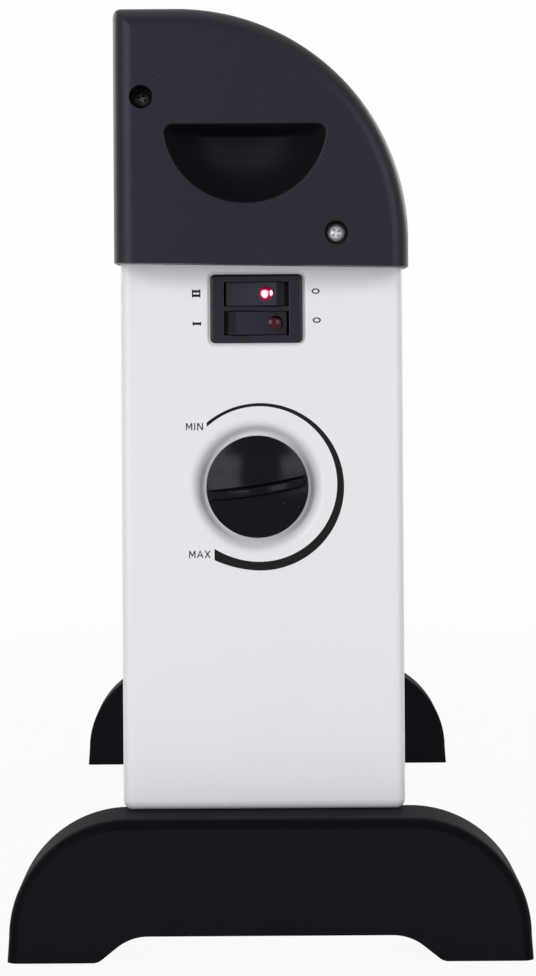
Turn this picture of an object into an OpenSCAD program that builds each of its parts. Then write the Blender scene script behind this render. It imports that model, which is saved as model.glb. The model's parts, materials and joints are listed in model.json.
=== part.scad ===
// Freestanding convector heater: a folded steel body on two arched feet, with moulded end caps,
// a twin rocker switch and a thermostat knob on one end, and a ribbon heating element inside.
// Millimetres. X runs along the heater and the controls are on its low end, the front faces -Y,
// +Z is up, and the origin is on the floor under the middle of the feet.

/* [Body] */
// Length of the steel body from one end panel's face to the other
body_len = 530; // [480:5:640]
// Depth of the steel body from front to back
body_depth = 116; // [112:1:128]
// Height of the steel body above the feet
body_h = 326; // [306:1:366]
// How far the body's middle is behind the middle of the feet
body_y = 2.1; // [0:0.1:5]
// Radius of the curved front edge at the top
crown_r = 92.2; // [84:0.2:93]
// Thickness of the steel sheet
sheet = 0.8; // [0.6:0.1:1]
// Radius of the folds round the end panels and along the bottom
bend_r = 4; // [3:0.5:5]
// Length of the flanges folded back from the end panels
flange_len = 26; // [26:1:32]

/* [Air slots] */
// Number of slots in each row of the outlet grille
outlet_count = 34; // [16:1:40]
// Width of one outlet slot
outlet_slot = 5; // [3:0.5:7]
// Number of rows of outlet slots round the curve
outlet_rows = 3; // [2:1:3]
// Number of slots in each row of the base and the rear panel
intake_count = 11; // [6:1:12]
// Length of one intake slot
intake_slot = 28; // [16:1:30]
// Width of one intake slot
intake_w = 6; // [3:0.5:8]

/* [Feet] */
// Height of the feet
foot_h = 57.2; // [54:0.2:66]
// Thickness of a foot along the heater
foot_t = 37; // [34:1:40]
// How far a foot stands out past the end panel
foot_proud = 25; // [22:1:28]
// Radius of the foot's upper corners
foot_corner_r = 47.5; // [40:0.5:50]
// How much wider a foot gets towards the floor on each side
foot_flare = 0.7; // [0:0.1:2]
// Rounding of the foot's outer edges
foot_round = 4.5; // [3:0.5:6]
// Wall thickness of the feet
foot_wall = 2.6; // [2:0.1:3]
// Height of the arch under the foot
arch_h = 10.6; // [6:0.2:12]
// Half width of the arch at the floor
arch_half = 69.5; // [64:0.5:76]

/* [End caps] */
// Height of the end caps at the back
cap_h = 103.2; // [102:0.2:112]
// Radius of the caps' upper back corner
cap_corner_r = 3.4; // [2.6:0.2:6]
// How much lower the cap's lower edge is at the front
cap_tilt = 2.2; // [0:0.2:4]
// How far a cap stands out past the end panel
cap_proud = 20; // [17:1:25]
// How far a cap reaches over the body
cap_lap = 24; // [16:1:30]
// Rounding round the cap's end face
cap_round = 8; // [6:0.5:10]
// Wall thickness of the cap's face
cap_wall = 2.4; // [1.8:0.1:3]
// Wall thickness of the cap's skirt round the body
cap_skirt = 1.6; // [1.2:0.1:2.2]
// Radius of the half round hand recess
hand_r = 33; // [30:0.5:34]
// Depth of the hand recess in the middle
hand_depth = 26; // [22:1:30]
// Radius of the holes over the cap screws
screw_well_r = 4.8; // [4.2:0.1:5.4]

/* [Switch] */
// Width of the switch bezel
bezel_w = 38; // [37:0.5:44]
// Height of the switch bezel
bezel_h = 28.3; // [27:0.1:31]
// Gap between the cap's edge and the bezel
bezel_gap = 3.4; // [1:0.1:4]
// Length of a rocker's window
window_w = 26.8; // [26.6:0.1:27.6]
// Height of a rocker's window
window_h = 9.9; // [9.6:0.1:10.2]
// Tilt of each rocker from its middle position
rocker_tilt = 12; // [8:0.5:12]
// Side clearance round a rocker in its window
rocker_gap = 0.25; // [0.15:0.05:0.4]
// Radius of a rocker's lamp lens
lens_r = 3; // [2.2:0.1:3.2]

/* [Knob] */
// Radius of the thermostat knob
knob_r = 21; // [19:0.5:23]
// Height of the knob
knob_h = 15; // [13:0.5:17]
// Distance of the knob below the switch
knob_drop = 73.2; // [66:0.2:80]
// Radius of the knob's domed top
knob_dome_r = 27; // [25:0.5:32]
// Angle of the knob's blade at rest
blade_angle = 9.5; // [-90:0.5:90]
// Radius of the gently domed face beside the blade
knob_face_r = 50; // [44:1:80]
// Radius of the hollow along the foot of the blade
scoop_r = 4; // [3:0.5:6]
// Half thickness of the blade at its thinnest
blade_half = 1.3; // [1:0.1:2]
// Depth of the pressed dish round the knob
dish_depth = 5; // [3.5:0.5:6]
// Gap between the knob and the dish floor's edge
dish_gap = 1; // [0.6:0.1:2]
// Radius of the thermostat's spindle
spindle_r = 3; // [2.6:0.1:3.2]

/* [Heating element] */
// Height of the element above the base tray
element_rise = 90; // [80:1:100]
// Half width of the zigzag ribbons
ribbon_half = 20; // [14:0.5:21]
// Length of one zigzag of the ribbons
ribbon_pitch = 13; // [11:0.5:16]
// Height of the high power ribbon
ribbon_high = 7; // [5:0.5:9]
// Height of the low power ribbon
ribbon_low = 5; // [4:0.5:7]

/* [Cord outlet] */
// Bore radius of the cord gland
gland_bore_r = 3.75; // [3:0.05:4.25]

/* [Hidden] */

$fn = 96;

// Colours
white_steel = [0.88, 0.89, 0.91];
black_plastic = [0.14, 0.14, 0.16];
knob_black = [0.09, 0.09, 0.1];
plated_steel = [0.72, 0.73, 0.75];
brass_tone = [0.8, 0.66, 0.36];
mica_tone = [0.78, 0.72, 0.58];
ceramic_tone = [0.93, 0.91, 0.86];
ribbon_tone = [0.55, 0.53, 0.52];
lens_lit = [0.95, 0.35, 0.38];
lens_dark = [0.45, 0.05, 0.07];
brown_wire = [0.42, 0.24, 0.14];
black_wire = [0.12, 0.12, 0.12];
blue_wire = [0.15, 0.35, 0.75];
green_wire = [0.45, 0.7, 0.2];

// Clearances: between seated loose pieces, round tabs and shanks, and of the two running fits
seat_gap = 0.2;
shank_gap = 0.1;
running_gap = 0.05;

// Body planes
xe = body_len / 2;
yf = body_y - body_depth / 2;
yb = body_y + body_depth / 2;
zb = foot_h;
zt = foot_h + body_h;
crown_y = yf + crown_r;
crown_z = zt - crown_r;
back_r = 3.2;
// The end panels' fold ends at the seam, where the wrap sheets start
seam = bend_r + 1;
xw = xe - seam;
xl = xe - flange_len;
// Length of the lap flanges on the wrap sheets
lap = 12;
lap_end_gap = 1;
// Steps of the faceted arcs
crown_steps = 24;
corner_steps = 5;
fold_steps = 5;

// Points on an arc from angle a0 to a1
function arc(y, z, r, a0, a1, n) =
    [for (i = [0:n]) let (a = a0 + (a1 - a0) * i / n) [y + r * cos(a), z + r * sin(a)]];

// The body's end view, drawn in by d
function body_points(d) =
    let (
        r = max(bend_r - d, 0.01),
        rb = max(back_r - d, 0.01)
    )
    concat(
        arc(yf + d + r, zb + d + r, r, 180, 270, corner_steps),
        arc(yb - d - r, zb + d + r, r, 270, 360, corner_steps),
        arc(yb - d - rb, zt - d - rb, rb, 0, 90, corner_steps),
        arc(crown_y, crown_z, crown_r - d, 90, 180, crown_steps)
    );

// Extrudes a flat shape along X, its x lying along Y and its y along Z
module along_x(x0, x1) {
    translate([x0, 0, 0])
        rotate([90, 0, 90])
            linear_extrude(x1 - x0)
                children();
}

// A box between two corners
module block(x, y, z) {
    translate([x[0], y[0], z[0]])
        cube([x[1] - x[0], y[1] - y[0], z[1] - z[0]]);
}

// A round bar along X
module bar_x(x0, x1, y, z, r) {
    translate([x0, y, z])
        rotate([0, 90, 0])
            cylinder(r = r, h = x1 - x0);
}

// A solid of revolution about a line along X, from a profile of radius and x
module turned_x(y, z) {
    translate([0, y, z])
        rotate([0, 90, 0])
            rotate_extrude()
                children();
}

// A six sided nut's outline
module hexagon(flats) {
    circle(r = flats / 2 / cos(30), $fn = 6);
}

module at_far_end() {
    mirror([1, 0, 0])
        children();
}

// A quarter disc pointing to the side given by sy and sz
module quarter(y, z, r, sy, sz) {
    translate([y, z])
        intersection() {
            circle(r);
            translate([sy > 0 ? 0 : -r - 1, sz > 0 ? 0 : -r - 1])
                square(r + 1);
        }
}

// The body's end view with true arcs, drawn in by d
module body_outline(d) {
    r = max(bend_r - d, 0.2);
    rb = max(back_r - d, 0.2);
    translate([yf + d, zb + d + r])
        square([body_depth - 2 * d, crown_z - zb - d - r]);
    translate([yf + d + r, zb + d])
        square([body_depth - 2 * d - 2 * r, r]);
    quarter(yf + d + r, zb + d + r, r, -1, -1);
    quarter(yb - d - r, zb + d + r, r, 1, -1);
    translate([crown_y, crown_z])
        square([yb - d - crown_y, crown_r - d - rb]);
    translate([crown_y, zt - d - rb])
        square([yb - d - rb - crown_y, rb]);
    quarter(yb - d - rb, zt - d - rb, rb, 1, 1);
    quarter(crown_y, crown_z, crown_r - d, -1, 1);
}

// A flat band of the end view
module band(y, z) {
    translate([y[0], z[0]])
        square([y[1] - y[0], z[1] - z[0]]);
}

// The low X end of the body, drawn in by d, with its edge folded round by r
module folded_end(d, r, x_end) {
    hull()
        for (i = [0:fold_steps])
            let (a = 90 * i / fold_steps)
                along_x(-xe + d + r * (1 - sin(a)), x_end)
                    polygon(body_points(d + r * (1 - cos(a))));
}

// End panels

module end_pan() {
    difference() {
        union() {
            folded_end(0, bend_r, -xw);
            along_x(-xe + bend_r, -xl)
                polygon(body_points(sheet));
        }
        folded_end(sheet, bend_r - sheet, -xe + bend_r);
        along_x(-xe + bend_r - 0.2, -xl + 1)
            polygon(body_points(2 * sheet));
    }
}

hand_y = body_y + 6.3;
hand_top = zt - 45.7;
hand_z = hand_top + 1.3;
hand_corner = 3.5;
hand_back_r = 60;
pocket_wall = 2;
pocket_gap = 0.4;

// The half round outline of the hand recess, grown by g
function hand_points(g) =
    let (
        big = hand_r + g,
        rc = hand_corner + g,
        dz = hand_top + g - rc - hand_z,
        dy = sqrt((big - rc) * (big - rc) - dz * dz),
        t = atan2(-dz, dy)
    )
    concat(
        arc(hand_y, hand_z, big, 180 + t, 360 - t, 36),
        arc(hand_y + dy, hand_z + dz, rc, -t, 90, 6),
        arc(hand_y - dy, hand_z + dz, rc, 90, 180 + t, 6)
    );

// Cap screws: across and up, and how deep their heads sit
back_screw = [yb - 9.7, zt - 34.4];
front_screw = [yf + 27.5, zt - 89.7];
back_screw_depth = 14;
front_screw_depth = 8;
cap_screws_at = [
    [back_screw[0], back_screw[1], back_screw_depth],
    [front_screw[0], front_screw[1], front_screw_depth]
];

pan_r = 3.6;
pan_h = 2.4;
shank_r = 1.9;

module cap_fixing_holes() {
    for (s = cap_screws_at)
        bar_x(-xe - 1, -xe + sheet + 1, s[0], s[1], shank_r + shank_gap);
    along_x(-xe - 1, -xe + bend_r)
        polygon(hand_points(pocket_wall + pocket_gap));
}

// Screws through the rear panel's lower edge into the tray's lap
rear_screw_z = zb + seam + lap / 2;
rear_screw_x = [xe / 4, xe * 0.72];

module rear_screws_at() {
    for (s = [-1, 1])
        for (x = rear_screw_x)
            translate([s * x, yb, rear_screw_z])
                rotate([-90, 0, 0])
                    children();
}

module rear_screw_holes() {
    rear_screws_at()
        translate([0, 0, -3])
            cylinder(r = shank_r + shank_gap, h = 4);
}

// Foot screws pass up through the foot's tongue, the tray and the end panel's flange
foot_x0 = -xe - foot_proud;
foot_x1 = foot_x0 + foot_t;
foot_screw_x = foot_x1 + 5.5;
foot_screw_y = 35;

module foot_screw_holes() {
    for (s = [-1, 1])
        translate([foot_screw_x, body_y + s * foot_screw_y, zb - 5])
            cylinder(r = shank_r + shank_gap, h = 10);
}

switch_y = body_y + 2.1;
cap_z = zt + 1.8 - cap_h;
switch_z = cap_z - cap_tilt / 2 - bezel_gap - bezel_h / 2;
knob_z = switch_z - knob_drop;
press_depth = 0.8;
press_margin = 0.8;
housing_w = window_w + 6.4;
divider = 2;
housing_h = 2 * window_h + divider + 2.4;
housing_gap = 0.2;
bushing_r = 4.9;

// A box centred on the switch
module switch_block(x, w, h) {
    block(x, [switch_y - w / 2, switch_y + w / 2], [switch_z - h / 2, switch_z + h / 2]);
}

dish_r = knob_r + dish_gap;
dish_floor = -xe + dish_depth;

// The dish's profile: g sets it back by the sheet's thickness
module dish_profile(g, x_front) {
    polygon([
        [0, x_front],
        [dish_r + 6 + g / 4, x_front],
        [dish_r + 6 + g / 4, -xe + g],
        [dish_r + 3.8 + g / 2, -xe + 0.5 + g],
        [dish_r + 2.6 + g * 0.8, -xe + 1.6 + g],
        [dish_r + 1.4 + g * 0.8, dish_floor - 0.9 + g],
        [dish_r + g / 2, dish_floor + g],
        [0, dish_floor + g]
    ]);
}

module control_end_panel() {
    color(white_steel)
        difference() {
            union() {
                end_pan();
                turned_x(switch_y, knob_z)
                    dish_profile(sheet, -xe + sheet / 2);
                switch_block(
                    [-xe + sheet / 2, -xe + press_depth + sheet],
                    bezel_w + 4 * press_margin,
                    bezel_h + 4 * press_margin
                );
            }
            turned_x(switch_y, knob_z)
                dish_profile(0, -xe - 1);
            switch_block([-xe - 1, -xe + press_depth], bezel_w + press_margin, bezel_h + press_margin);
            switch_block([-xe - 1, -xe + 4], housing_w + 2 * housing_gap, housing_h + 2 * housing_gap);
            bar_x(-xe - 1, dish_floor + 2, switch_y, knob_z, bushing_r + shank_gap);
            cap_fixing_holes();
            foot_screw_holes();
        }
}

module plain_end_panel() {
    color(white_steel)
        at_far_end()
            difference() {
                end_pan();
                cap_fixing_holes();
                foot_screw_holes();
            }
}

// Wrap sheets

lap_x = xl - lap_end_gap;
// Where a lap flange runs under its own sheet
joggle = 0.6;

module front_panel() {
    color(white_steel)
        block([-xw, xw], [yf, yf + sheet], [zb + seam, crown_z]);
}

lap_over = 4;
slot_band = xw - 30;
outlet_pitch = 2 * slot_band / outlet_count;
outlet_arc = 21;
outlet_row_pitch = 27;
outlet_start = 6;

// Slots cut through the curve of the grille
module outlet_slots() {
    for (j = [0:outlet_rows - 1])
        for (i = [0:outlet_count - 1])
            translate([-slot_band + outlet_pitch * (i + 0.5) - outlet_slot / 2, crown_y, crown_z])
                rotate([outlet_start + outlet_arc + outlet_row_pitch * j, 0, 0])
                    rotate([0, 90, 0])
                        rotate([0, 0, 180 - outlet_arc])
                            rotate_extrude(angle = outlet_arc)
                                translate([crown_r - 3, 0])
                                    square([6, outlet_slot]);
}

module outlet_grille() {
    color(white_steel)
        difference() {
            union() {
                along_x(-xw, xw)
                    difference() {
                        intersection() {
                            body_outline(0);
                            band([yf - 1, yb - seam], [crown_z, zt + 1]);
                        }
                        body_outline(sheet);
                    }
                along_x(-lap_x, lap_x)
                    difference() {
                        union() {
                            intersection() {
                                body_outline(sheet);
                                band([yf - 1, crown_y], [crown_z - lap, crown_z + lap_over]);
                            }
                            intersection() {
                                body_outline(sheet / 2);
                                band([yf - 1, crown_y], [crown_z, crown_z + lap_over]);
                            }
                        }
                        body_outline(2 * sheet);
                    }
            }
            outlet_slots();
        }
}

intake_band = xe - 80;
intake_pitch = 2 * intake_band / intake_count;
rear_row_z = [zb + 22, zb + 62];
tray_row_pitch = 32;

// One row of long round ended slots along X, cut along the way given by the rotation
module slot_row(turn) {
    for (i = [0:intake_count - 1])
        translate([-intake_band + intake_pitch * (i + 0.5), 0, 0])
            rotate([turn, 0, 0])
                linear_extrude(8, center = true)
                    union() {
                        square([intake_slot - intake_w, intake_w], center = true);
                        for (s = [-1, 1])
                            translate([s * (intake_slot - intake_w) / 2, 0])
                                circle(intake_w / 2);
                    }
}

module rear_panel() {
    color(white_steel)
        difference() {
            union() {
                along_x(-xw, xw)
                    difference() {
                        intersection() {
                            body_outline(0);
                            union() {
                                band([yb - 2 * sheet, yb + 1], [zb + seam, zt + 1]);
                                band([yb - seam, yb + 1], [crown_z, zt + 1]);
                            }
                        }
                        body_outline(sheet);
                    }
                block([-lap_x, lap_x], [yb - seam - lap, yb - seam + joggle], [zt - 2 * sheet, zt - sheet]);
                block([-lap_x, lap_x], [yb - seam, yb - seam + joggle], [zt - 2 * sheet, zt - sheet / 2]);
            }
            for (z = rear_row_z)
                translate([0, yb, z])
                    slot_row(90);
            rear_screw_holes();
        }
}

// Cord gland and earth screw positions, shared with the tray's holes
gland_x = -xe + 40;
gland_y = body_y + 22;
gland_r = 6;
earth_x = -xe + 43;
earth_y = body_y - 30;
control_bulk_x = -xe + 65;
far_bulk_x = xe - 50;
bulk_foot = 12;
bulk_screw_y = 30;

// Screws up through the tray into the bulkheads' feet
module bulk_screws_at() {
    for (x = [control_bulk_x + bulk_foot / 2 + 1, far_bulk_x + bulk_foot / 2 + 1])
        for (s = [-1, 1])
            translate([x, body_y + s * bulk_screw_y, zb])
                children();
}

module base_tray() {
    color(white_steel)
        difference() {
            union() {
                along_x(-xw, xw)
                    difference() {
                        intersection() {
                            body_outline(0);
                            band([yf - 1, yb + 1], [zb - 1, zb + seam]);
                        }
                        body_outline(sheet);
                    }
                along_x(-lap_x, lap_x)
                    difference() {
                        union() {
                            intersection() {
                                body_outline(sheet);
                                band([yf - 1, yb + 1], [zb + bend_r, zb + seam + lap]);
                            }
                            intersection() {
                                body_outline(sheet / 2);
                                band([yf - 1, yb + 1], [zb + bend_r, zb + seam]);
                            }
                        }
                        body_outline(2 * sheet);
                    }
            }
            for (row = [-1, 0, 1])
                translate([0, body_y + row * tray_row_pitch, zb])
                    slot_row(0);
            foot_screw_holes();
            at_far_end()
                foot_screw_holes();
            rear_screw_holes();
            bulk_screws_at()
                translate([0, 0, -1])
                    cylinder(r = shank_r + shank_gap, h = 4);
            translate([gland_x, gland_y, zb - 1])
                cylinder(r = gland_r + shank_gap, h = 4);
            translate([earth_x, earth_y, zb - 1])
                cylinder(r = shank_r + shank_gap, h = 4);
        }
}

// End caps

cap_grow = cap_skirt + seat_gap;
cap_x0 = -xe - cap_proud;
cap_x1 = -xe + cap_lap;
cap_low = zt - cap_h - 12;

// The cap's end view, drawn in by d but for its lower edge
function cap_points(d) =
    let (r = max(cap_corner_r - d, 0.01))
    concat(
        [[yf - cap_grow + d, cap_low], [yb + cap_grow - d, cap_low]],
        arc(yb + cap_grow - d - r, zt + cap_grow - d - r, r, 0, 90, corner_steps),
        arc(crown_y, crown_z, crown_r + cap_grow - d, 90, 180, crown_steps)
    );

module rounded_cap(d, r, x_end) {
    hull()
        for (i = [0:fold_steps])
            let (a = 90 * i / fold_steps)
                along_x(cap_x0 + d + r * (1 - sin(a)), x_end)
                    polygon(cap_points(d + r * (1 - cos(a))));
}

// Everything above the cap's slanting lower edge, raised by g
module above_cap_edge(x0, x1, g) {
    along_x(x0, x1)
        polygon([
            [yf - cap_grow - 1, cap_z - cap_tilt + g],
            [yb + cap_grow + 1, cap_z + g],
            [yb + cap_grow + 1, zt + 20],
            [yf - cap_grow - 1, zt + 20]
        ]);
}

// The hand recess as a solid, grown by g
module hand_space(g, x0) {
    intersection() {
        along_x(x0, cap_x0 + hand_depth + g)
            polygon(hand_points(g));
        translate([cap_x0 + hand_depth - hand_back_r, hand_y, hand_z - 2 * hand_r])
            cylinder(r = hand_back_r + g, h = 4 * hand_r, $fn = 180);
    }
}

module end_cap() {
    difference() {
        intersection() {
            union() {
                difference() {
                    rounded_cap(0, cap_round, cap_x1);
                    intersection() {
                        rounded_cap(cap_wall, cap_round - cap_wall, -xe);
                        above_cap_edge(cap_x0, -xe, cap_wall);
                    }
                    along_x(-xe, cap_x1 + 1)
                        polygon(body_points(-seat_gap));
                }
                for (s = cap_screws_at)
                    bar_x(cap_x0 + cap_wall / 2, -xe, s[0], s[1], screw_well_r + 2);
                hand_space(pocket_wall, cap_x0 + cap_wall / 2);
            }
            above_cap_edge(cap_x0 - 1, cap_x1 + 1, 0);
        }
        hand_space(0, cap_x0 - 1);
        for (s = cap_screws_at) {
            bar_x(cap_x0 - 1, cap_x0 + s[2], s[0], s[1], screw_well_r);
            bar_x(cap_x0, -xe + 1, s[0], s[1], shank_r + shank_gap);
        }
    }
}

module control_end_cap() {
    color(black_plastic)
        end_cap();
}

module plain_end_cap() {
    color(black_plastic)
        at_far_end()
            end_cap();
}

// A cross recess in a screw head whose top is at the origin, facing +Z
module cross_recess() {
    for (a = [0, 90])
        rotate([0, 0, a])
            translate([0, 0, -0.5])
                cube([4, 0.9, 2.6], center = true);
}

// A pan head screw, its head's underside at the origin and its shank pointing down
module pan_screw(shank) {
    difference() {
        union() {
            intersection() {
                cylinder(r = pan_r, h = pan_h);
                translate([0, 0, pan_h - 4.6])
                    sphere(4.6);
            }
            translate([0, 0, -shank])
                cylinder(r = shank_r, h = shank + 0.5);
        }
        translate([0, 0, pan_h])
            cross_recess();
    }
}

module cap_screws_one_end() {
    for (s = cap_screws_at)
        translate([cap_x0 + s[2], s[0], s[1]])
            rotate([0, -90, 0])
                pan_screw(cap_proud - s[2] + 7);
}

module cap_screws() {
    color(plated_steel) {
        cap_screws_one_end();
        at_far_end()
            cap_screws_one_end();
    }
}

module panel_screws() {
    color(plated_steel) {
        rear_screws_at()
            pan_screw(7);
        bulk_screws_at()
            rotate([180, 0, 0])
                pan_screw(7);
    }
}

// Feet

foot_flat = body_depth / 2;
foot_half = foot_flat + foot_corner_r;
foot_inner_round = 1.5;
foot_cz = foot_h - foot_corner_r;
// Ribs across the hollow foot, to each side of its middle
foot_ribs = [30, 88];
tongue_t = 3;
tongue_half = 48;
tongue_end = foot_screw_x + 8;

// The foot's end view down to level z, drawn in by d but for its underside
function foot_points(d, z = 0) =
    concat(
        [[-foot_half - foot_flare + d, z], [foot_half + foot_flare - d, z]],
        arc(foot_flat, foot_cz, foot_corner_r - d, 0, 90, 12),
        arc(-foot_flat, foot_cz, foot_corner_r - d, 90, 180, 12)
    );

arch_r = 20;
arch_slope = 38.7;
// Where the arch's slope meets its rounded shoulder
arch_run = arch_h - arch_r * (1 - cos(arch_slope));
arch_in = arch_half - arch_run / tan(arch_slope) - arch_r * sin(arch_slope);

function arch_points() =
    concat(
        [[arch_half + 2, -2 * tan(arch_slope)], [arch_half, 0]],
        arc(arch_in, arch_h - arch_r, arch_r, 90 - arch_slope, 90, 6),
        arc(-arch_in, arch_h - arch_r, arch_r, 90, 90 + arch_slope, 6),
        [[-arch_half, 0], [-arch_half - 2, -2 * tan(arch_slope)]]
    );

module foot() {
    difference() {
        union() {
            hull()
                for (i = [0:fold_steps])
                    let (
                        a = 90 * i / fold_steps,
                        near = foot_round * (1 - sin(a)),
                        far = foot_inner_round * (1 - sin(a))
                    ) {
                        along_x(foot_x0 + near, foot_x0 + foot_t / 2)
                            polygon(foot_points(foot_round * (1 - cos(a))));
                        along_x(foot_x0 + foot_t / 2 - 1, foot_x1 - far)
                            polygon(foot_points(foot_inner_round * (1 - cos(a))));
                    }
            block(
                [foot_x1 - foot_wall, tongue_end],
                [body_y - tongue_half, body_y + tongue_half],
                [foot_h - tongue_t, foot_h]
            );
        }
        difference() {
            along_x(foot_x0 + foot_wall, foot_x1 - foot_wall)
                polygon(foot_points(foot_wall, -1));
            for (s = [-1, 1])
                for (y = foot_ribs)
                    block([foot_x0, foot_x1], [s * y - 1, s * y + 1], [-2, foot_h]);
        }
        along_x(foot_x0 - 1, foot_x1 + 1)
            polygon(arch_points());
        for (s = [-1, 1])
            translate([foot_screw_x, body_y + s * foot_screw_y, foot_h - tongue_t - 1])
                cylinder(r = shank_r + shank_gap, h = tongue_t + 2);
    }
}

module control_end_foot() {
    color(black_plastic)
        foot();
}

module plain_end_foot() {
    color(black_plastic)
        at_far_end()
            foot();
}

module foot_screws() {
    color(plated_steel)
        for (m = [0, 1])
            for (s = [-1, 1])
                mirror([m, 0, 0])
                    translate([foot_screw_x, body_y + s * foot_screw_y, foot_h - tongue_t])
                        rotate([180, 0, 0])
                            pan_screw(tongue_t + 6);
}

// Bulkheads and heat shield

bulk_y = [yf + 2 * sheet + 0.4, yb - 2 * sheet - 0.4];
bulk_z0 = zb + sheet;
bulk_top = crown_z - lap - 1;
bulk_foot_half = 40;
el_z = bulk_z0 + element_rise;
rail_y = 24;
rail_h = 10;
rail_t = 1.2;

// Ribbons lie one over the other, each between two levels
low_z = [el_z - 1 - ribbon_low, el_z - 1];
high_z = [el_z + 1, el_z + 1 + ribbon_high];
stud_side = 14;
stud_r = 2;
bush_r = 5;
bush_flange_r = 6.6;
low_stud = [body_y - stud_side, (low_z[0] + low_z[1]) / 2];
high_stud = [body_y + stud_side, (high_z[0] + high_z[1]) / 2];
rod_at = [body_y, el_z - 16];
studs_at = [low_stud, high_stud, rod_at];

// A plate across the body with a foot folded along the tray
module bulkhead(x) {
    along_x(x - sheet, x)
        polygon([
            [bulk_y[0] + bend_r, bulk_z0],
            [bulk_y[1] - bend_r, bulk_z0],
            [bulk_y[1], bulk_z0 + bend_r],
            [bulk_y[1], bulk_top],
            [bulk_y[0], bulk_top],
            [bulk_y[0], bulk_z0 + bend_r]
        ]);
    block([x - sheet, x + bulk_foot], [body_y - bulk_foot_half, body_y + bulk_foot_half], [bulk_z0, bulk_z0 + sheet]);
}

module rail_slots(x) {
    for (s = [-1, 1])
        block(
            [x - 2, x + 2],
            [body_y + s * rail_y - rail_t / 2 - shank_gap, body_y + s * rail_y + rail_t / 2 + shank_gap],
            [el_z - rail_h / 2 - shank_gap, el_z + rail_h / 2 + shank_gap]
        );
}

module bulk_screw_holes() {
    bulk_screws_at()
        cylinder(r = shank_r + shank_gap, h = 4);
}

cutout_inset = 30;
cutout_rise = 14;
cutout_at = [yb - cutout_inset, knob_z + cutout_rise];
cutout_r = 8;

module control_bulkhead() {
    color(plated_steel)
        difference() {
            bulkhead(control_bulk_x);
            rail_slots(control_bulk_x);
            for (p = studs_at)
                bar_x(control_bulk_x - 3, control_bulk_x + 3, p[0], p[1], bush_r + shank_gap);
            bulk_screw_holes();
        }
}

module far_bulkhead() {
    color(plated_steel)
        difference() {
            bulkhead(far_bulk_x);
            rail_slots(far_bulk_x);
            bar_x(far_bulk_x - 3, far_bulk_x + 3, rod_at[0], rod_at[1], bush_r + shank_gap);
            bulk_screw_holes();
        }
}

shield_y = yf + 14;
shield_lip = 8;
shield_rise = 30;
shield_drop = 20;
shield_z = [bulk_z0 + shield_rise, bulk_top - shield_drop];
shield_slot_w = 6;
shield_slot_z = [shield_z[0] + shield_rise, shield_z[0] + shield_rise + shield_slot_w];
shield_slot_half = 20;
shield_slot_pitch = 80;
shield_slot_inset = 70;

module heat_shield() {
    color(plated_steel)
        difference() {
            union() {
                block(
                    [control_bulk_x, far_bulk_x - sheet],
                    [shield_y, shield_y + sheet],
                    shield_z
                );
                block(
                    [control_bulk_x, far_bulk_x - sheet],
                    [shield_y - shield_lip, shield_y + sheet],
                    [shield_z[1] - sheet, shield_z[1]]
                );
            }
            for (x = [control_bulk_x + shield_slot_inset:shield_slot_pitch:far_bulk_x - shield_slot_inset])
                block(
                    [x - shield_slot_half, x + shield_slot_half],
                    [shield_y - 1, shield_y + sheet + 1],
                    shield_slot_z
                );
        }
}

// Heating element

// Gaps along the heater from the bulkheads to the ribbons, and the ribbons' straight ends
element_gap = [14, 20];
ribbon_end = 4;
element_x0 = control_bulk_x + element_gap[0];
element_x1 = far_bulk_x - element_gap[1];
turns = floor((element_x1 - element_x0 - 2 * ribbon_end) / ribbon_pitch);
zig_x0 = element_x0 + ribbon_end;
zig_x1 = zig_x0 + turns * ribbon_pitch;

module element_rails() {
    color(plated_steel)
        for (s = [-1, 1])
            block(
                [control_bulk_x - 4, far_bulk_x + 4],
                [body_y + s * rail_y - rail_t / 2, body_y + s * rail_y + rail_t / 2],
                [el_z - rail_h / 2, el_z + rail_h / 2]
            );
}

plate_count = 6;
plate_turns = [for (i = [0:plate_count - 1]) 1 + round(i * (turns - 3) / (plate_count - 1))];
mica_t = 1;
mica_half = 30;
mica_below = 22;
mica_above = 16;

// A plate stands at the tip of a zigzag
function plate_x(k) = zig_x0 + ribbon_pitch * (k + 0.25);

// Plates across the rails, with a window for each ribbon at the tip of a zigzag
module mica_supports() {
    color(mica_tone)
        for (k = plate_turns)
            difference() {
                block(
                    [plate_x(k) - mica_t / 2, plate_x(k) + mica_t / 2],
                    [body_y - mica_half, body_y + mica_half],
                    [el_z - mica_below, el_z + mica_above]
                );
                for (z = [low_z, high_z])
                    block(
                        [zig_x0, zig_x1],
                        [body_y + ribbon_half - 2 - ribbon_half * 3 / ribbon_pitch, body_y + ribbon_half + 1.5],
                        z
                    );
                rail_slots(plate_x(k));
                bar_x(zig_x0, zig_x1, rod_at[0], rod_at[1], rod_r + shank_gap);
            }
}

// Centre line of a zigzag between its two straight tails
function zigzag(tail_y) =
    concat(
        [[element_x0, tail_y], [zig_x0, tail_y]],
        [for (k = [0:turns - 1]) for (q = [0.25, 0.75])
            [zig_x0 + ribbon_pitch * (k + q), (q < 0.5 ? 1 : -1) * ribbon_half]],
        [[zig_x1, 0], [element_x1, 0]]
    );

ribbon_shift = 1;

module ribbon(tail_y, z) {
    line = zigzag(tail_y);
    last = len(line) - 1;
    translate([0, body_y, z[0]])
        linear_extrude(z[1] - z[0])
            polygon(concat(
                [for (p = line) [p[0], p[1] + ribbon_shift]],
                [for (i = [0:last]) [line[last - i][0], line[last - i][1] - ribbon_shift]]
            ));
}

module low_heating_ribbon() {
    color(ribbon_tone)
        ribbon(-stud_side, low_z);
}

module high_heating_ribbon() {
    color(ribbon_tone)
        ribbon(stud_side, high_z);
}

bush_half = 3;

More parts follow.
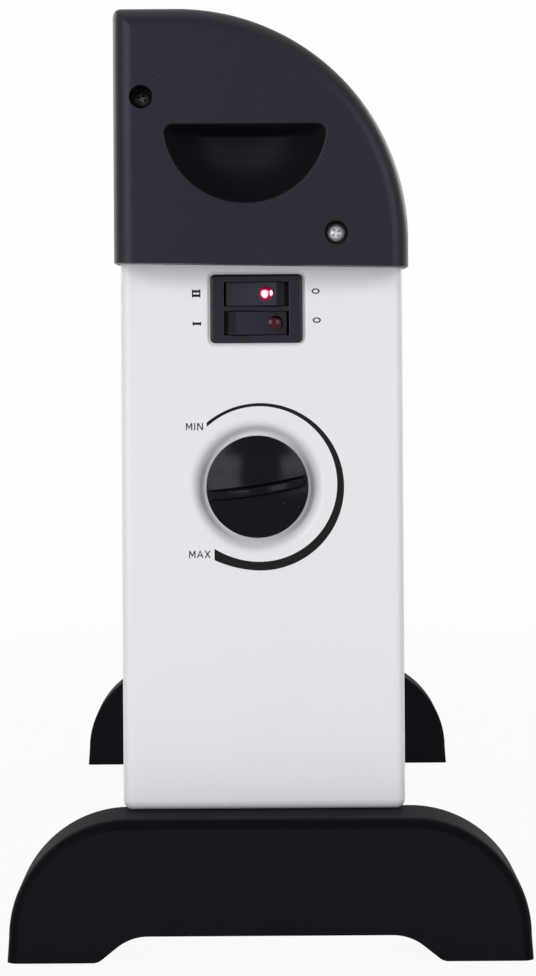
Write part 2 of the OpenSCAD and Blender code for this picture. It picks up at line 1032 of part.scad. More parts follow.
// A flanged insulating bush in a bulkhead, in two halves that meet in the hole
module bush(x, p, hole_r) {
    translate([x - sheet / 2, p[0], p[1]])
        rotate([0, 90, 0])
            difference() {
                union() {
                    translate([0, 0, -bush_half - sheet / 2])
                        cylinder(r = bush_flange_r, h = bush_half);
                    translate([0, 0, -sheet / 2])
                        cylinder(r = bush_r, h = sheet + bush_half);
                }
                translate([0, 0, -bush_half - sheet])
                    cylinder(r = hole_r + shank_gap, h = 2 * bush_half + 2 * sheet + 1);
            }
}

rod_r = 1.5;

module ceramic_bushes() {
    color(ceramic_tone) {
        for (p = [low_stud, high_stud])
            bush(control_bulk_x, p, stud_r);
        bush(control_bulk_x, rod_at, rod_r);
        at_far_end()
            bush(-far_bulk_x + sheet, rod_at, rod_r);
    }
}

stud_out = control_bulk_x - 16;

module element_studs() {
    color(plated_steel)
        for (p = [low_stud, high_stud]) {
            bar_x(stud_out, element_x0, p[0], p[1], stud_r);
            bar_x(control_bulk_x - sheet - bush_half - 3, control_bulk_x - sheet - bush_half, p[0], p[1], 4);
        }
}

link_t = 2;

module return_rod() {
    color(plated_steel) {
        bar_x(stud_out, far_bulk_x + 6, rod_at[0], rod_at[1], rod_r);
        bar_x(control_bulk_x - sheet - bush_half - 3, control_bulk_x - sheet - bush_half, rod_at[0], rod_at[1], 4);
    }
}

module element_link() {
    color(plated_steel)
        difference() {
            block([element_x1, element_x1 + link_t], [body_y - 5, body_y + 5], [rod_at[1] - 5, high_z[1]]);
            bar_x(element_x1 - 1, element_x1 + link_t + 1, rod_at[0], rod_at[1], rod_r + shank_gap);
        }
}

// Thermal cut-out on the control bulkhead

tab_w = 6.3;
tab_t = 0.8;
tab_len = 8;
cutout_h = 6;
cutout_x = control_bulk_x - sheet - cutout_h;
cutout_tab_side = 5;

module thermal_cutout() {
    color(black_plastic)
        difference() {
            union() {
                bar_x(cutout_x, control_bulk_x - sheet, cutout_at[0], cutout_at[1], cutout_r);
                block(
                    [control_bulk_x - sheet - 1.2, control_bulk_x - sheet],
                    [cutout_at[0] - 12, cutout_at[0] + 12],
                    [cutout_at[1] - 4, cutout_at[1] + 4]
                );
            }
            cutout_tab_blocks(shank_gap);
        }
}

module cutout_tab_blocks(g) {
    for (s = [-1, 1])
        block(
            [cutout_x - tab_len, cutout_x + 3],
            [cutout_at[0] + s * cutout_tab_side - tab_t / 2 - g, cutout_at[0] + s * cutout_tab_side + tab_t / 2 + g],
            [cutout_at[1] - tab_w / 2 - g, cutout_at[1] + tab_w / 2 + g]
        );
}

module cutout_tabs() {
    color(brass_tone)
        cutout_tab_blocks(0);
}

// Thermostat

thermo_x0 = dish_floor + sheet;
thermo_depth = 13;
thermo_x1 = thermo_x0 + thermo_depth;
thermo_w = 34;
thermo_h = 30;
thermo_wall = 1.6;
thermo_front = 2;
bushing_flange_t = 1;
bushing_flange_r = 6.5;
nut_t = 2.5;
bushing_end = dish_floor - nut_t - 1.2;
thermo_tab_side = 8;
thermo_tab_z = -7;
thermo_tab_end = thermo_x1 + tab_len;

// A box centred on the knob's axis, moved up by dz
module thermo_block(x, y0, y1, z0, z1) {
    block(x, [switch_y + y0, switch_y + y1], [knob_z + z0, knob_z + z1]);
}

module thermostat_body() {
    color(ceramic_tone)
        difference() {
            thermo_block([thermo_x0, thermo_x1], -thermo_w / 2, thermo_w / 2, -thermo_h / 2, thermo_h / 2);
            thermo_block(
                [thermo_x0 + thermo_front, thermo_x1 - thermo_wall],
                -thermo_w / 2 + thermo_wall,
                thermo_w / 2 - thermo_wall,
                -thermo_h / 2 + thermo_wall,
                thermo_h / 2 + 1
            );
            bar_x(thermo_x0 - 1, thermo_x0 + thermo_front + 1, switch_y, knob_z, bushing_r + shank_gap);
            for (s = [-1, 1])
                thermo_block(
                    [thermo_x1 - thermo_wall - 1, thermo_x1 + 1],
                    s * thermo_tab_side - tab_t / 2 - shank_gap,
                    s * thermo_tab_side + tab_t / 2 + shank_gap,
                    thermo_tab_z - tab_w / 2 - shank_gap,
                    thermo_tab_z + tab_w / 2 + shank_gap
                );
        }
}

module thermostat_bushing() {
    color(brass_tone)
        turned_x(switch_y, knob_z)
            polygon([
                [spindle_r + running_gap, bushing_end],
                [bushing_r, bushing_end],
                [bushing_r, thermo_x0 + thermo_front],
                [bushing_flange_r, thermo_x0 + thermo_front],
                [bushing_flange_r, thermo_x0 + thermo_front + bushing_flange_t],
                [spindle_r + running_gap, thermo_x0 + thermo_front + bushing_flange_t]
            ]);
}

module thermostat_nut() {
    color(plated_steel)
        translate([dish_floor - nut_t, switch_y, knob_z])
            rotate([0, 90, 0])
                difference() {
                    linear_extrude(nut_t)
                        hexagon(14);
                    translate([0, 0, -1])
                        cylinder(r = bushing_r + 0.02, h = nut_t + 2);
                }
}

knob_gap = 0.4;
knob_x0 = dish_floor - knob_gap;
knob_hollow = max(dish_floor - bushing_end + 0.8, 4) - knob_gap;
knob_hollow_r = 10;
spindle_in = thermo_x0 + thermo_front + bushing_flange_t + 0.3;
rim_step = 0.4;
knob_wall = 1.2;
// The face is part of a sphere: its middle and the place of the hollow beside the blade, above the knob's back
knob_edge = knob_h - knob_dome_r + sqrt(pow(knob_dome_r, 2) - pow(knob_r, 2)) - rim_step;
face_mid = knob_edge - sqrt(pow(knob_face_r, 2) - pow(knob_r, 2));
scoop_side = blade_half + scoop_r;
scoop_bite = 0.05;
scoop_up = sqrt(pow(knob_face_r + scoop_r - scoop_bite, 2) - pow(scoop_side, 2));
// The spindle ends inside the blade, a wall's thickness from the hollows beside it
spindle_clear = scoop_side - spindle_r - running_gap;
spindle_tip = knob_x0 - face_mid - scoop_up + sqrt(pow(scoop_r + knob_wall, 2) - pow(spindle_clear, 2));
spindle_flat = 1.9;

module thermostat_spindle() {
    color(plated_steel)
        difference() {
            union() {
                bar_x(spindle_tip, spindle_in + 4.5, switch_y, knob_z, spindle_r);
                bar_x(spindle_in, spindle_in + 1.5, switch_y, knob_z, spindle_r + 1.6);
            }
            block(
                [spindle_tip - 1, bushing_end - 0.4],
                [switch_y - 5, switch_y + 5],
                [knob_z + spindle_flat, knob_z + 5]
            );
        }
}

// A bimetal strip on a pillar, bent in under the spindle's end
module thermostat_bimetal() {
    color(brass_tone) {
        thermo_block(
            [thermo_x0 + thermo_front, thermo_x1 - thermo_wall],
            -thermo_w / 2 + thermo_wall + 0.4,
            -thermo_w / 2 + thermo_wall + 3,
            -3,
            3
        );
        thermo_block([spindle_in + 4.8, spindle_in + 5.5], -thermo_w / 2 + thermo_wall + 1, 7, -2.5, 2.5);
    }
}

// The contact leaf rises from the inner end of one tab
module thermostat_leaf() {
    color(brass_tone) {
        thermo_block(
            [thermo_x1 - thermo_wall - 1.5, thermo_x1 - thermo_wall - 0.9],
            thermo_tab_side + tab_t / 2,
            thermo_tab_side + tab_t / 2 + 4,
            thermo_tab_z - 2,
            8
        );
    }
}

module thermostat_tabs() {
    color(brass_tone)
        for (s = [-1, 1])
            thermo_block(
                [thermo_x1 - thermo_wall - 3, thermo_tab_end],
                s * thermo_tab_side - tab_t / 2,
                s * thermo_tab_side + tab_t / 2,
                thermo_tab_z - tab_w / 2,
                thermo_tab_z + tab_w / 2
            );
}

// What is cut away beside the blade, turned about a line across the blade through the face's middle
module blade_side() {
    translate([0, 0, face_mid])
        rotate([0, 90, 0])
            rotate_extrude()
                difference() {
                    translate([knob_r, blade_half])
                        square([knob_face_r, 2 * knob_r]);
                    circle(knob_face_r);
                    difference() {
                        translate([knob_r, 0])
                            square([scoop_up - knob_r, scoop_side]);
                        translate([scoop_up, scoop_side])
                            circle(scoop_r);
                    }
                }
}

// The knob lying on its back at the origin, its axis along +Z
module knob_shape() {
    difference() {
        intersection() {
            cylinder(r = knob_r, h = knob_h + 1);
            translate([0, 0, knob_h - knob_dome_r])
                sphere(knob_dome_r, $fn = 128);
        }
        for (m = [0, 1])
            mirror([m, 0, 0])
                blade_side();
        translate([0, 0, -1])
            cylinder(r = knob_hollow_r, h = knob_hollow + 1);
    }
}

module thermostat_knob() {
    color(knob_black)
        difference() {
            translate([knob_x0, switch_y, knob_z])
                rotate([0, -90, 0])
                    rotate([0, 0, blade_angle])
                        knob_shape();
            difference() {
                bar_x(spindle_tip, knob_x0 + 1, switch_y, knob_z, spindle_r + running_gap);
                block(
                    [spindle_tip - 1, knob_x0 + 1],
                    [switch_y - 5, switch_y + 5],
                    [knob_z + spindle_flat + running_gap, knob_z + 5]
                );
            }
        }
}

// Switch

bezel_t = 2.2;
bezel_x = -xe + press_depth - bezel_t;
pivot_depth = 8.5;
pivot_x = bezel_x + pivot_depth;
rocker_pitch = window_h + divider;
rocker_w = window_h - 2 * rocker_gap;
rocker_top = 9.9;
rocker_reach = window_w / 2 - 0.3;
trunnion_r = 1.5;
trunnion_out = 0.8;
floor_depth = 12.5;
cavity_half = window_w / 2 + 1.6;
housing_back = pivot_x + floor_depth + 3;
high_row = switch_z + rocker_pitch / 2;
low_row = switch_z - rocker_pitch / 2;
lever_depth = 8;
lever_r = 0.8;
lever_t = 0.8;
lever_half = 7.5;
lever_ratio = 0.6;
lever_w = 5;
lever_pin_out = 1.7;
switch_tab_end = housing_back + tab_len;
switch_tab_w = 6.3;
contact_side = 7.5;

// Puts a piece at a rocker's pivot: x along +Y, y outwards, z up
module at_rocker(z) {
    translate([pivot_x, switch_y, z])
        rotate([0, 0, 90])
            children();
}

// Tabs of both rockers: a bearing fork in the middle and a contact at the front side
module switch_tab_pieces(z) {
    at_rocker(z) {
        translate([-tab_t / 2, -floor_depth - 3 - tab_len, -switch_tab_w / 2])
            cube([tab_t, tab_len + 3, switch_tab_w]);
        translate([-2, -floor_depth, -4])
            cube([4, 0.8, 8]);
        for (s = [-1, 1])
            difference() {
                translate([-1.8, -floor_depth, s * 3.6 - 0.4])
                    cube([3.6, floor_depth - lever_depth + 1.6, 0.8]);
                translate([0, -lever_depth, s * 3.6 - 1])
                    cylinder(r = lever_r + running_gap, h = 2);
            }
        translate([-contact_side - tab_t / 2, -floor_depth - 3 - tab_len, -switch_tab_w / 2])
            cube([tab_t, tab_len + 3, switch_tab_w]);
        translate([-contact_side, -floor_depth, 0])
            rotate([-90, 0, 0])
                cylinder(r = 2, h = contact_rise);
    }
}

// The fixed contact stops just under the lever's end
contact_drop = lever_half * sin(lever_ratio * rocker_tilt) + lever_t / 2 * cos(lever_ratio * rocker_tilt);
contact_rise = floor_depth - lever_depth - contact_drop - 0.9;

module switch_tabs() {
    color(brass_tone) {
        switch_tab_pieces(high_row);
        switch_tab_pieces(low_row);
    }
}

// A see-saw lever on its pin, turned by a
module lever(z, a) {
    at_rocker(z)
        translate([0, -lever_depth, 0])
            rotate([0, 0, a]) {
                translate([-lever_half - 1, -lever_t / 2, -lever_w / 2])
                    cube([2 * lever_half + 2, lever_t, lever_w]);
                for (m = [0, 1])
                    mirror([0, 0, m])
                        translate([0, 0, lever_w / 2 - lever_t / 2])
                            cylinder(r = lever_r, h = lever_pin_out + lever_t / 2);
                translate([-lever_half, -lever_t / 2, 0])
                    rotate([90, 0, 0])
                        cylinder(r = 1.5, h = 0.5);
            }
}

module switch_contact_high() {
    color(brass_tone)
        lever(high_row, lever_ratio * rocker_tilt);
}

module switch_contact_low() {
    color(brass_tone)
        lever(low_row, -lever_ratio * rocker_tilt);
}

module switch_housing() {
    color(black_plastic)
        difference() {
            union() {
                hull() {
                    switch_block([bezel_x + 1.2, bezel_x + bezel_t], bezel_w, bezel_h);
                    switch_block([bezel_x, bezel_x + bezel_t], bezel_w - 2.4, bezel_h - 2.4);
                }
                switch_block([bezel_x + bezel_t - 0.5, housing_back], housing_w, housing_h);
            }
            for (z = [high_row, low_row]) {
                at_rocker(z) {
                    translate([-window_w / 2, 0, -window_h / 2])
                        cube([window_w, pivot_depth + 1, window_h]);
                    translate([-cavity_half, -floor_depth, -window_h / 2])
                        cube([2 * cavity_half, pivot_depth + floor_depth - bezel_t, window_h]);
                    cylinder(r = trunnion_r + running_gap, h = window_h + 2 * trunnion_out + 0.2, center = true);
                    for (y = [0, -contact_side])
                        translate([
                            y - tab_t / 2 - shank_gap,
                            -floor_depth - 4,
                            -switch_tab_w / 2 - shank_gap
                        ])
                            cube([tab_t + 2 * shank_gap, 5, switch_tab_w + 2 * shank_gap]);
                }
            }
        }
}

tip_r = 1.2;
tip_depth = lever_depth - lever_t / 2 - 0.3 - tip_r;
lens_side = 6.1;
lens_seat = 6.4;
neon_r = 1.5;

// A rocker about its pivot, level
module rocker_shape() {
    difference() {
        union() {
            translate([0, 0, -rocker_w / 2])
                linear_extrude(rocker_w)
                    polygon([
                        [-rocker_reach, 6],
                        [-rocker_reach + 2.6, rocker_top],
                        [-rocker_reach / 2, rocker_top - 0.35],
                        [0, rocker_top - 0.6],
                        [rocker_reach / 2, rocker_top - 0.35],
                        [rocker_reach - 2.6, rocker_top],
                        [rocker_reach, 6],
                        [rocker_reach - 1.4, 2.6],
                        [3.2, -2.2],
                        [-3.2, -2.2],
                        [-rocker_reach + 1.4, 2.6]
                    ]);
            cylinder(r = trunnion_r, h = window_h + 2 * trunnion_out, center = true);
            translate([-tip_r, -tip_depth, -1.6])
                cube([2 * tip_r, tip_depth, 3.2]);
            translate([0, -tip_depth, -1.6])
                cylinder(r = tip_r, h = 3.2);
        }
        translate([-lens_side, lens_seat, 0])
            rotate([-90, 0, 0])
                cylinder(r = lens_r + 0.02, h = 6);
        translate([-lens_side, 2, 0])
            rotate([-90, 0, 0])
                cylinder(r = neon_r + shank_gap, h = 6);
    }
}

// A domed lens set in the rocker's top
module lens_shape() {
    translate([-lens_side, 0, 0])
        rotate([-90, 0, 0]) {
            translate([0, 0, lens_seat])
                cylinder(r = lens_r, h = rocker_top - 0.5 - lens_seat);
            intersection() {
                translate([0, 0, rocker_top - 0.5 - 4.2])
                    sphere(5.2);
                translate([0, 0, lens_seat + 1])
                    cylinder(r = lens_r, h = 5);
            }
        }
}

// A small glow lamp under the lens
module neon_shape() {
    translate([-lens_side, 2, 0])
        rotate([-90, 0, 0])
            cylinder(r = neon_r, h = lens_seat - 2);
}

module rocker_high() {
    color(black_plastic)
        at_rocker(high_row)
            rotate([0, 0, -rocker_tilt])
                rocker_shape();
}

module rocker_low() {
    color(black_plastic)
        at_rocker(low_row)
            rotate([0, 0, rocker_tilt])
                rocker_shape();
}

module lamp_lens_high() {
    color(lens_lit)
        at_rocker(high_row)
            rotate([0, 0, -rocker_tilt])
                lens_shape();
}

module lamp_lens_low() {
    color(lens_dark)
        at_rocker(low_row)
            rotate([0, 0, rocker_tilt])
                lens_shape();
}

module neon_high() {
    color(lens_lit)
        at_rocker(high_row)
            rotate([0, 0, -rocker_tilt])
                neon_shape();
}

module neon_low() {
    color(lens_dark)
        at_rocker(low_row)
            rotate([0, 0, rocker_tilt])
                neon_shape();
}

// Terminal block, cord gland and wiring

block_x = [control_bulk_x - sheet - 18, control_bulk_x - sheet];
block_z = [zb + 37, zb + 57];
pole_pitch = 12;
pole_x = control_bulk_x - sheet - 10;
wire_r = 1.1;

module terminal_block() {
    color(ceramic_tone)
        difference() {
            block(block_x, [body_y - 1.5 * pole_pitch - 1, body_y + 1.5 * pole_pitch + 1], block_z);
            for (k = [-1, 0, 1]) {
                translate([pole_x, body_y + k * pole_pitch, block_z[1] - 6])
                    cylinder(r = wire_r + shank_gap, h = 8);
                for (z = [block_z[0] + 5, block_z[1] - 5])
                    bar_x(block_x[0] - 1, block_x[0] + 4, body_y + k * pole_pitch, z, 2 + shank_gap);
                translate([pole_x, body_y + k * pole_pitch, block_z[0] - 1])
                    cylinder(r = 2, h = 8);
            }
        }
}

module terminal_screws() {
    color(brass_tone)
        for (k = [-1, 0, 1])
            for (z = [block_z[0] + 5, block_z[1] - 5])
                difference() {
                    bar_x(block_x[0] + 0.5, block_x[0] + 4, body_y + k * pole_pitch, z, 2);
                    block(
                        [block_x[0] - 1, block_x[0] + 1.2],
                        [body_y + k * pole_pitch - 3, body_y + k * pole_pitch + 3],
                        [z - 0.3, z + 0.3]
                    );
                }
}

gland_drop = 12;
gland_flange_r = 9;
gland_flange_t = 2.5;
gland_top = sheet + 7;
gland_nut_t = 4;

module cord_gland() {
    color(black_plastic)
        translate([gland_x, gland_y, zb])
            rotate_extrude()
                polygon([
                    [gland_bore_r, -gland_drop],
                    [gland_r - 1, -gland_drop],
                    [gland_r, -gland_drop + 2],
                    [gland_r, -gland_flange_t],
                    [gland_flange_r, -gland_flange_t],
                    [gland_flange_r, 0],
                    [gland_r, 0],
                    [gland_r, gland_top],
                    [gland_bore_r, gland_top]
                ]);
}

module gland_nut() {
    color(black_plastic)
        translate([gland_x, gland_y, zb + sheet])
            difference() {
                linear_extrude(gland_nut_t)
                    hexagon(18);
                translate([0, 0, -1])
                    cylinder(r = gland_r + 0.02, h = gland_nut_t + 2);
            }
}

// A round bar between two points
module bar(p, q, r) {
    v = q - p;
    translate(p)
        rotate([0, acos(v[2] / norm(v)), atan2(v[1], v[0])])
            cylinder(r = r, h = norm(v), $fn = 24);
}

// A wire through a list of points, with a slightly fuller bead at each bend
module wire(points) {
    for (i = [0:len(points) - 2])
        bar(points[i], points[i + 1], wire_r);
    for (i = [1:len(points) - 2])
        translate(points[i])
            sphere(wire_r * 1.12, $fn = 24);
}

sleeve_len = 11;
sleeve_grip = 6;

// An insulated push-on sleeve over a tab whose end is at p, pointing along X by dir
module sleeve(p, dir) {
    x = dir > 0
        ? [p[0] - sleeve_grip, p[0] + sleeve_len - sleeve_grip]
        : [p[0] - sleeve_len + sleeve_grip, p[0] + sleeve_grip];
    difference() {
        block(x, [p[1] - 1.7, p[1] + 1.7], [p[2] - 4.2, p[2] + 4.2]);
        block(
            dir > 0 ? [p[0] - sleeve_grip - 1, p[0]] : [p[0], p[0] + sleeve_grip + 1],
            [p[1] - tab_t / 2 - shank_gap, p[1] + tab_t / 2 + shank_gap],
            [p[2] - tab_w / 2 - shank_gap, p[2] + tab_w / 2 + shank_gap]
        );
    }
}

// Where each tab ends, and where a wire leaves its sleeve
cut_tab_a = [cutout_x - tab_len, cutout_at[0] + cutout_tab_side, cutout_at[1]];
cut_tab_b = [cutout_x - tab_len, cutout_at[0] - cutout_tab_side, cutout_at[1]];
thermo_tab_a = [thermo_tab_end, switch_y + thermo_tab_side, knob_z + thermo_tab_z];
thermo_tab_b = [thermo_tab_end, switch_y - thermo_tab_side, knob_z + thermo_tab_z];
low_common = [switch_tab_end, switch_y, low_row];
high_common = [switch_tab_end, switch_y, high_row];
low_out = [switch_tab_end, switch_y - contact_side, low_row];
high_out = [switch_tab_end, switch_y - contact_side, high_row];
sleeve_tail = sleeve_len - sleeve_grip - 1;
pole_top = block_z[1] - 6;
pole_rise = block_z[1] + 7;
side_y = body_y + 42;

// Two wires share the low switch's common sleeve, this far above and below its middle
common_split = 1.8;

// A point d further along X than p, and up above it
function out_of(p, d, up = 0) = [p[0] + d, p[1], p[2] + up];

// Live wire from the terminal block to the thermal cut-out
module supply_wire() {
    color(brown_wire) {
        sleeve(cut_tab_a, -1);
        wire([
            [pole_x, body_y + pole_pitch, pole_top],
            [pole_x, body_y + pole_pitch, pole_rise],
            [pole_x, side_y, pole_rise],
            [pole_x, side_y, cutout_at[1] - 20],
            out_of(cut_tab_a, -sleeve_tail - 6),
            out_of(cut_tab_a, -sleeve_tail)
        ]);
    }
}

// Live wire from the thermal cut-out to the thermostat
module cutout_wire() {
    color(brown_wire) {
        sleeve(cut_tab_b, -1);
        sleeve(thermo_tab_a, 1);
        wire([
            out_of(cut_tab_b, -sleeve_tail),
            out_of(cut_tab_b, -sleeve_tail - 5),
            out_of(thermo_tab_a, sleeve_tail + 5, 8),
            out_of(thermo_tab_a, sleeve_tail + 4),
            out_of(thermo_tab_a, sleeve_tail)
        ]);
    }
}

// Live wires from the thermostat to the two switches
module switch_feed_wires() {
    color(brown_wire) {
        sleeve(thermo_tab_b, 1);
        sleeve(low_common, 1);
        sleeve(high_common, 1);
        wire([
            out_of(thermo_tab_b, sleeve_tail),
            out_of(thermo_tab_b, sleeve_tail + 5),
            [switch_tab_end + sleeve_tail + 5, switch_y, knob_z + 25],
            out_of(low_common, sleeve_tail + 4, -common_split),
            out_of(low_common, sleeve_tail, -common_split)
        ]);
        wire([
            out_of(low_common, sleeve_tail, common_split),
            out_of(low_common, sleeve_tail + 4, common_split),
            out_of(high_common, sleeve_tail + 4),
            out_of(high_common, sleeve_tail)
        ]);
    }
}

module switched_wires() {
    color(black_wire) {
        sleeve(low_out, 1);
        wire([
            out_of(low_out, sleeve_tail),
            out_of(low_out, sleeve_tail + 9),
            [stud_out - 6, low_stud[0] - 8, low_row - 20],
            [stud_out - 6, low_stud[0] - 8, low_stud[1] + 12],
            [stud_out - 6, low_stud[0], low_stud[1]],
            [stud_out, low_stud[0], low_stud[1]]
        ]);
        sleeve(high_out, 1);
        wire([
            out_of(high_out, sleeve_tail),
            [control_bulk_x - 8, high_out[1], high_row],
            [control_bulk_x - 8, high_out[1], high_stud[1] + 26],
            [control_bulk_x - 8, high_stud[0], high_stud[1] + 14],
            [stud_out - 6, high_stud[0], high_stud[1]],
            [stud_out, high_stud[0], high_stud[1]]
        ]);
    }
}

module neutral_wire() {
    color(blue_wire)
        wire([
            [pole_x, body_y, pole_top],
            [pole_x, body_y, pole_rise - 3],
            [stud_out - 5, body_y, rod_at[1] - 6],
            [stud_out - 5, body_y, rod_at[1]],
            [stud_out, body_y, rod_at[1]]
        ]);
}

ring_t = 1;
ring_r = 5.5;
tray_top = zb + sheet;

module earth_wire() {
    color(green_wire) {
        difference() {
            translate([earth_x, earth_y, tray_top])
                cylinder(r = ring_r, h = ring_t);
            translate([earth_x, earth_y, tray_top - 1])
                cylinder(r = shank_r + shank_gap, h = ring_t + 2);
        }
        wire([
            [pole_x, body_y - pole_pitch, pole_top],
            [pole_x, body_y - pole_pitch, pole_rise],
            [pole_x, earth_y - 2, pole_rise],
            [pole_x, earth_y - 2, tray_top + 12],
            [earth_x + ring_r + 3, earth_y, tray_top + wire_r + 0.8],
            [earth_x + pan_r + 0.8, earth_y, tray_top + wire_r + 0.1]
        ]);
    }
}

module earth_screw() {
    color(brass_tone)
        translate([earth_x, earth_y, tray_top + ring_t])
            pan_screw(ring_t + 6);
}

control_end_panel();
plain_end_panel();
front_panel();
rear_panel();
outlet_grille();
base_tray();
control_end_cap();
plain_end_cap();
control_end_foot();
plain_end_foot();
cap_screws();
foot_screws();
panel_screws();
control_bulkhead();
far_bulkhead();
heat_shield();
element_rails();
mica_supports();
low_heating_ribbon();
high_heating_ribbon();
ceramic_bushes();
element_studs();
return_rod();
element_link();
thermal_cutout();
cutout_tabs();
thermostat_body();
thermostat_bushing();
thermostat_nut();
thermostat_spindle();
thermostat_bimetal();
thermostat_leaf();
thermostat_tabs();
thermostat_knob();
switch_housing();
rocker_high();
rocker_low();
lamp_lens_high();
lamp_lens_low();
neon_high();
neon_low();
switch_contact_high();
switch_contact_low();
switch_tabs();
terminal_block();
terminal_screws();
cord_gland();
gland_nut();
supply_wire();
cutout_wire();
switch_feed_wires();
switched_wires();
neutral_wire();
earth_wire();
earth_screw();
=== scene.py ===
import json
import math

import bpy
import bmesh
from mathutils import Matrix, Vector
from mathutils.geometry import delaunay_2d_cdt

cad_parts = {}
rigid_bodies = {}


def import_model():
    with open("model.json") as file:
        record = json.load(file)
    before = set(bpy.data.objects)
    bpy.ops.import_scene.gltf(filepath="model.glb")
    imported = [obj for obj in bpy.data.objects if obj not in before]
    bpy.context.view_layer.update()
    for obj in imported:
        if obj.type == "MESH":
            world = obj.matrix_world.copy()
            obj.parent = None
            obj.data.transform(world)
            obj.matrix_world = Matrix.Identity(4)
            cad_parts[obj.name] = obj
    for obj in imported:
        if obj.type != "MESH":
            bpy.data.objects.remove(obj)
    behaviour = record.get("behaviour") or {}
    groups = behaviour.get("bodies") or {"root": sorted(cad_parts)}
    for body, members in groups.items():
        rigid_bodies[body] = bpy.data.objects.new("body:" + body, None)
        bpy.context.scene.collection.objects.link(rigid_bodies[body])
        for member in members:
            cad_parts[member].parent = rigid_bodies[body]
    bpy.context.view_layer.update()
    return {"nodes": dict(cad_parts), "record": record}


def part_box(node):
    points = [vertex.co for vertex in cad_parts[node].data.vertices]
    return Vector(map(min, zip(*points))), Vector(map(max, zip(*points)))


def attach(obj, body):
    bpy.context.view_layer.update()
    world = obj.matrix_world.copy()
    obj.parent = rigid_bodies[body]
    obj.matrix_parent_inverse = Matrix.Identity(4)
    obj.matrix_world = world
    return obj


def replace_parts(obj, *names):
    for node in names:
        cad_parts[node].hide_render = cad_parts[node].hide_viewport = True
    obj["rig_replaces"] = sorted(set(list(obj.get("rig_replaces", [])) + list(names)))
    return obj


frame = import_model()
NODES = frame["nodes"]
SCENE = bpy.context.scene
MM = 0.001


# Materials

class Look:
    """One node material, built up piece by piece."""

    def __init__(self, name):
        self.material = bpy.data.materials.new(name)
        self.material.use_nodes = True
        self.tree = self.material.node_tree
        self.tree.nodes.clear()
        self.output = self.tree.nodes.new("ShaderNodeOutputMaterial")

    def add(self, kind, inputs=None, **settings):
        node = self.tree.nodes.new(kind)
        for key, value in settings.items():
            setattr(node, key, value)
        for key, value in (inputs or {}).items():
            if isinstance(value, tuple) and hasattr(value[0], "outputs"):
                self.tree.links.new(value[0].outputs[value[1]], node.inputs[key])
            else:
                node.inputs[key].default_value = value
        return node

    def place(self):
        return self.add("ShaderNodeTexCoord")

    def vectors(self, operation, *terms):
        return self.add("ShaderNodeVectorMath", dict(enumerate(terms)), operation=operation)

    def numbers(self, operation, *terms):
        return self.add("ShaderNodeMath", dict(enumerate(terms)), operation=operation)

    def noise(self, scale, detail, roughness=0.5, where=None):
        where = where or self.place()
        return self.add("ShaderNodeTexNoise", {
            "Vector": (where, "Object"), "Scale": scale, "Detail": detail, "Roughness": roughness,
        }), "Fac"

    def span(self, source, low, high, start=0.0, end=1.0):
        """Maps one range onto another."""
        return self.add(
            "ShaderNodeMapRange",
            {"Value": source, "From Min": start, "From Max": end, "To Min": low, "To Max": high},
        )

    def tint(self, source, first, second):
        ramp = self.add("ShaderNodeValToRGB", {"Fac": source})
        ramp.color_ramp.elements[0].color = (*first, 1)
        ramp.color_ramp.elements[1].color = (*second, 1)
        return ramp

    def bump(self, source, strength, distance, normal=None):
        inputs = {"Height": source, "Strength": strength, "Distance": distance}
        if normal:
            inputs["Normal"] = (normal, "Normal")
        return self.add("ShaderNodeBump", inputs)

    def finish(self, shader, socket="BSDF"):
        self.tree.links.new(shader.outputs[socket], self.output.inputs["Surface"])
        return self.material

    def surface(self, colour, rough, bump, more):
        """Ends the tree in one shader with a colour, a roughness and a relief."""
        inputs = {"Base Color": colour, "Roughness": (rough, "Result"), "Normal": (bump, "Normal")}
        return self.finish(self.add("ShaderNodeBsdfPrincipled", {**inputs, **more}))


def powder_coat():
    look = Look("white_steel")
    broad = look.noise(9.0, 2.0)
    peel = look.noise(620.0, 2.0)
    fine = look.noise(2600.0, 3.0)
    colour = look.tint(broad, (0.80, 0.815, 0.845), (0.835, 0.85, 0.875))
    rough = look.span(fine, 0.34, 0.46)
    bump = look.bump(peel, 0.10, 0.0004)
    bump = look.bump(fine, 0.05, 0.0001, bump)
    return look.surface((colour, "Color"), rough, bump, {
        "Specular IOR Level": 0.3, "Coat Weight": 0.08, "Coat Roughness": 0.2,
    })


def grained_plastic(name, dark, light, rough_low, rough_high, grain, depth, specular):
    """Fine grained moulded plastic with a few specks of dust."""
    look = Look(name)
    broad = look.noise(14.0, 3.0)
    grit = look.noise(grain, 4.0, 0.6)
    specks = look.noise(1700.0, 1.0)
    colour = look.tint(broad, dark, light)
    dust = look.span(specks, 0.0, 1.0, 0.77, 0.80)
    dusty = look.add("ShaderNodeMix", {
        "Factor": (dust, "Result"),
        "A": (colour, "Color"),
        "B": (0.09, 0.09, 0.1, 1.0),
    }, data_type="RGBA")
    rough = look.span(grit, rough_low, rough_high)
    bump = look.bump(grit, 0.35, depth)
    return look.surface((dusty, "Result"), rough, bump, {
        "Specular IOR Level": specular, "Specular Tint": (0.86, 0.83, 1.0, 1.0),
    })


def metal(name, first, second, rough_low, rough_high, grain=900.0, relief=0.00008):
    look = Look(name)
    blotch = look.noise(60.0, 3.0)
    brushed = look.noise(grain, 4.0, 0.6)
    colour = look.tint(blotch, first, second)
    rough = look.span(brushed, rough_low, rough_high)
    bump = look.bump(brushed, 0.15, relief)
    return look.surface((colour, "Color"), rough, bump, {"Metallic": 1.0})


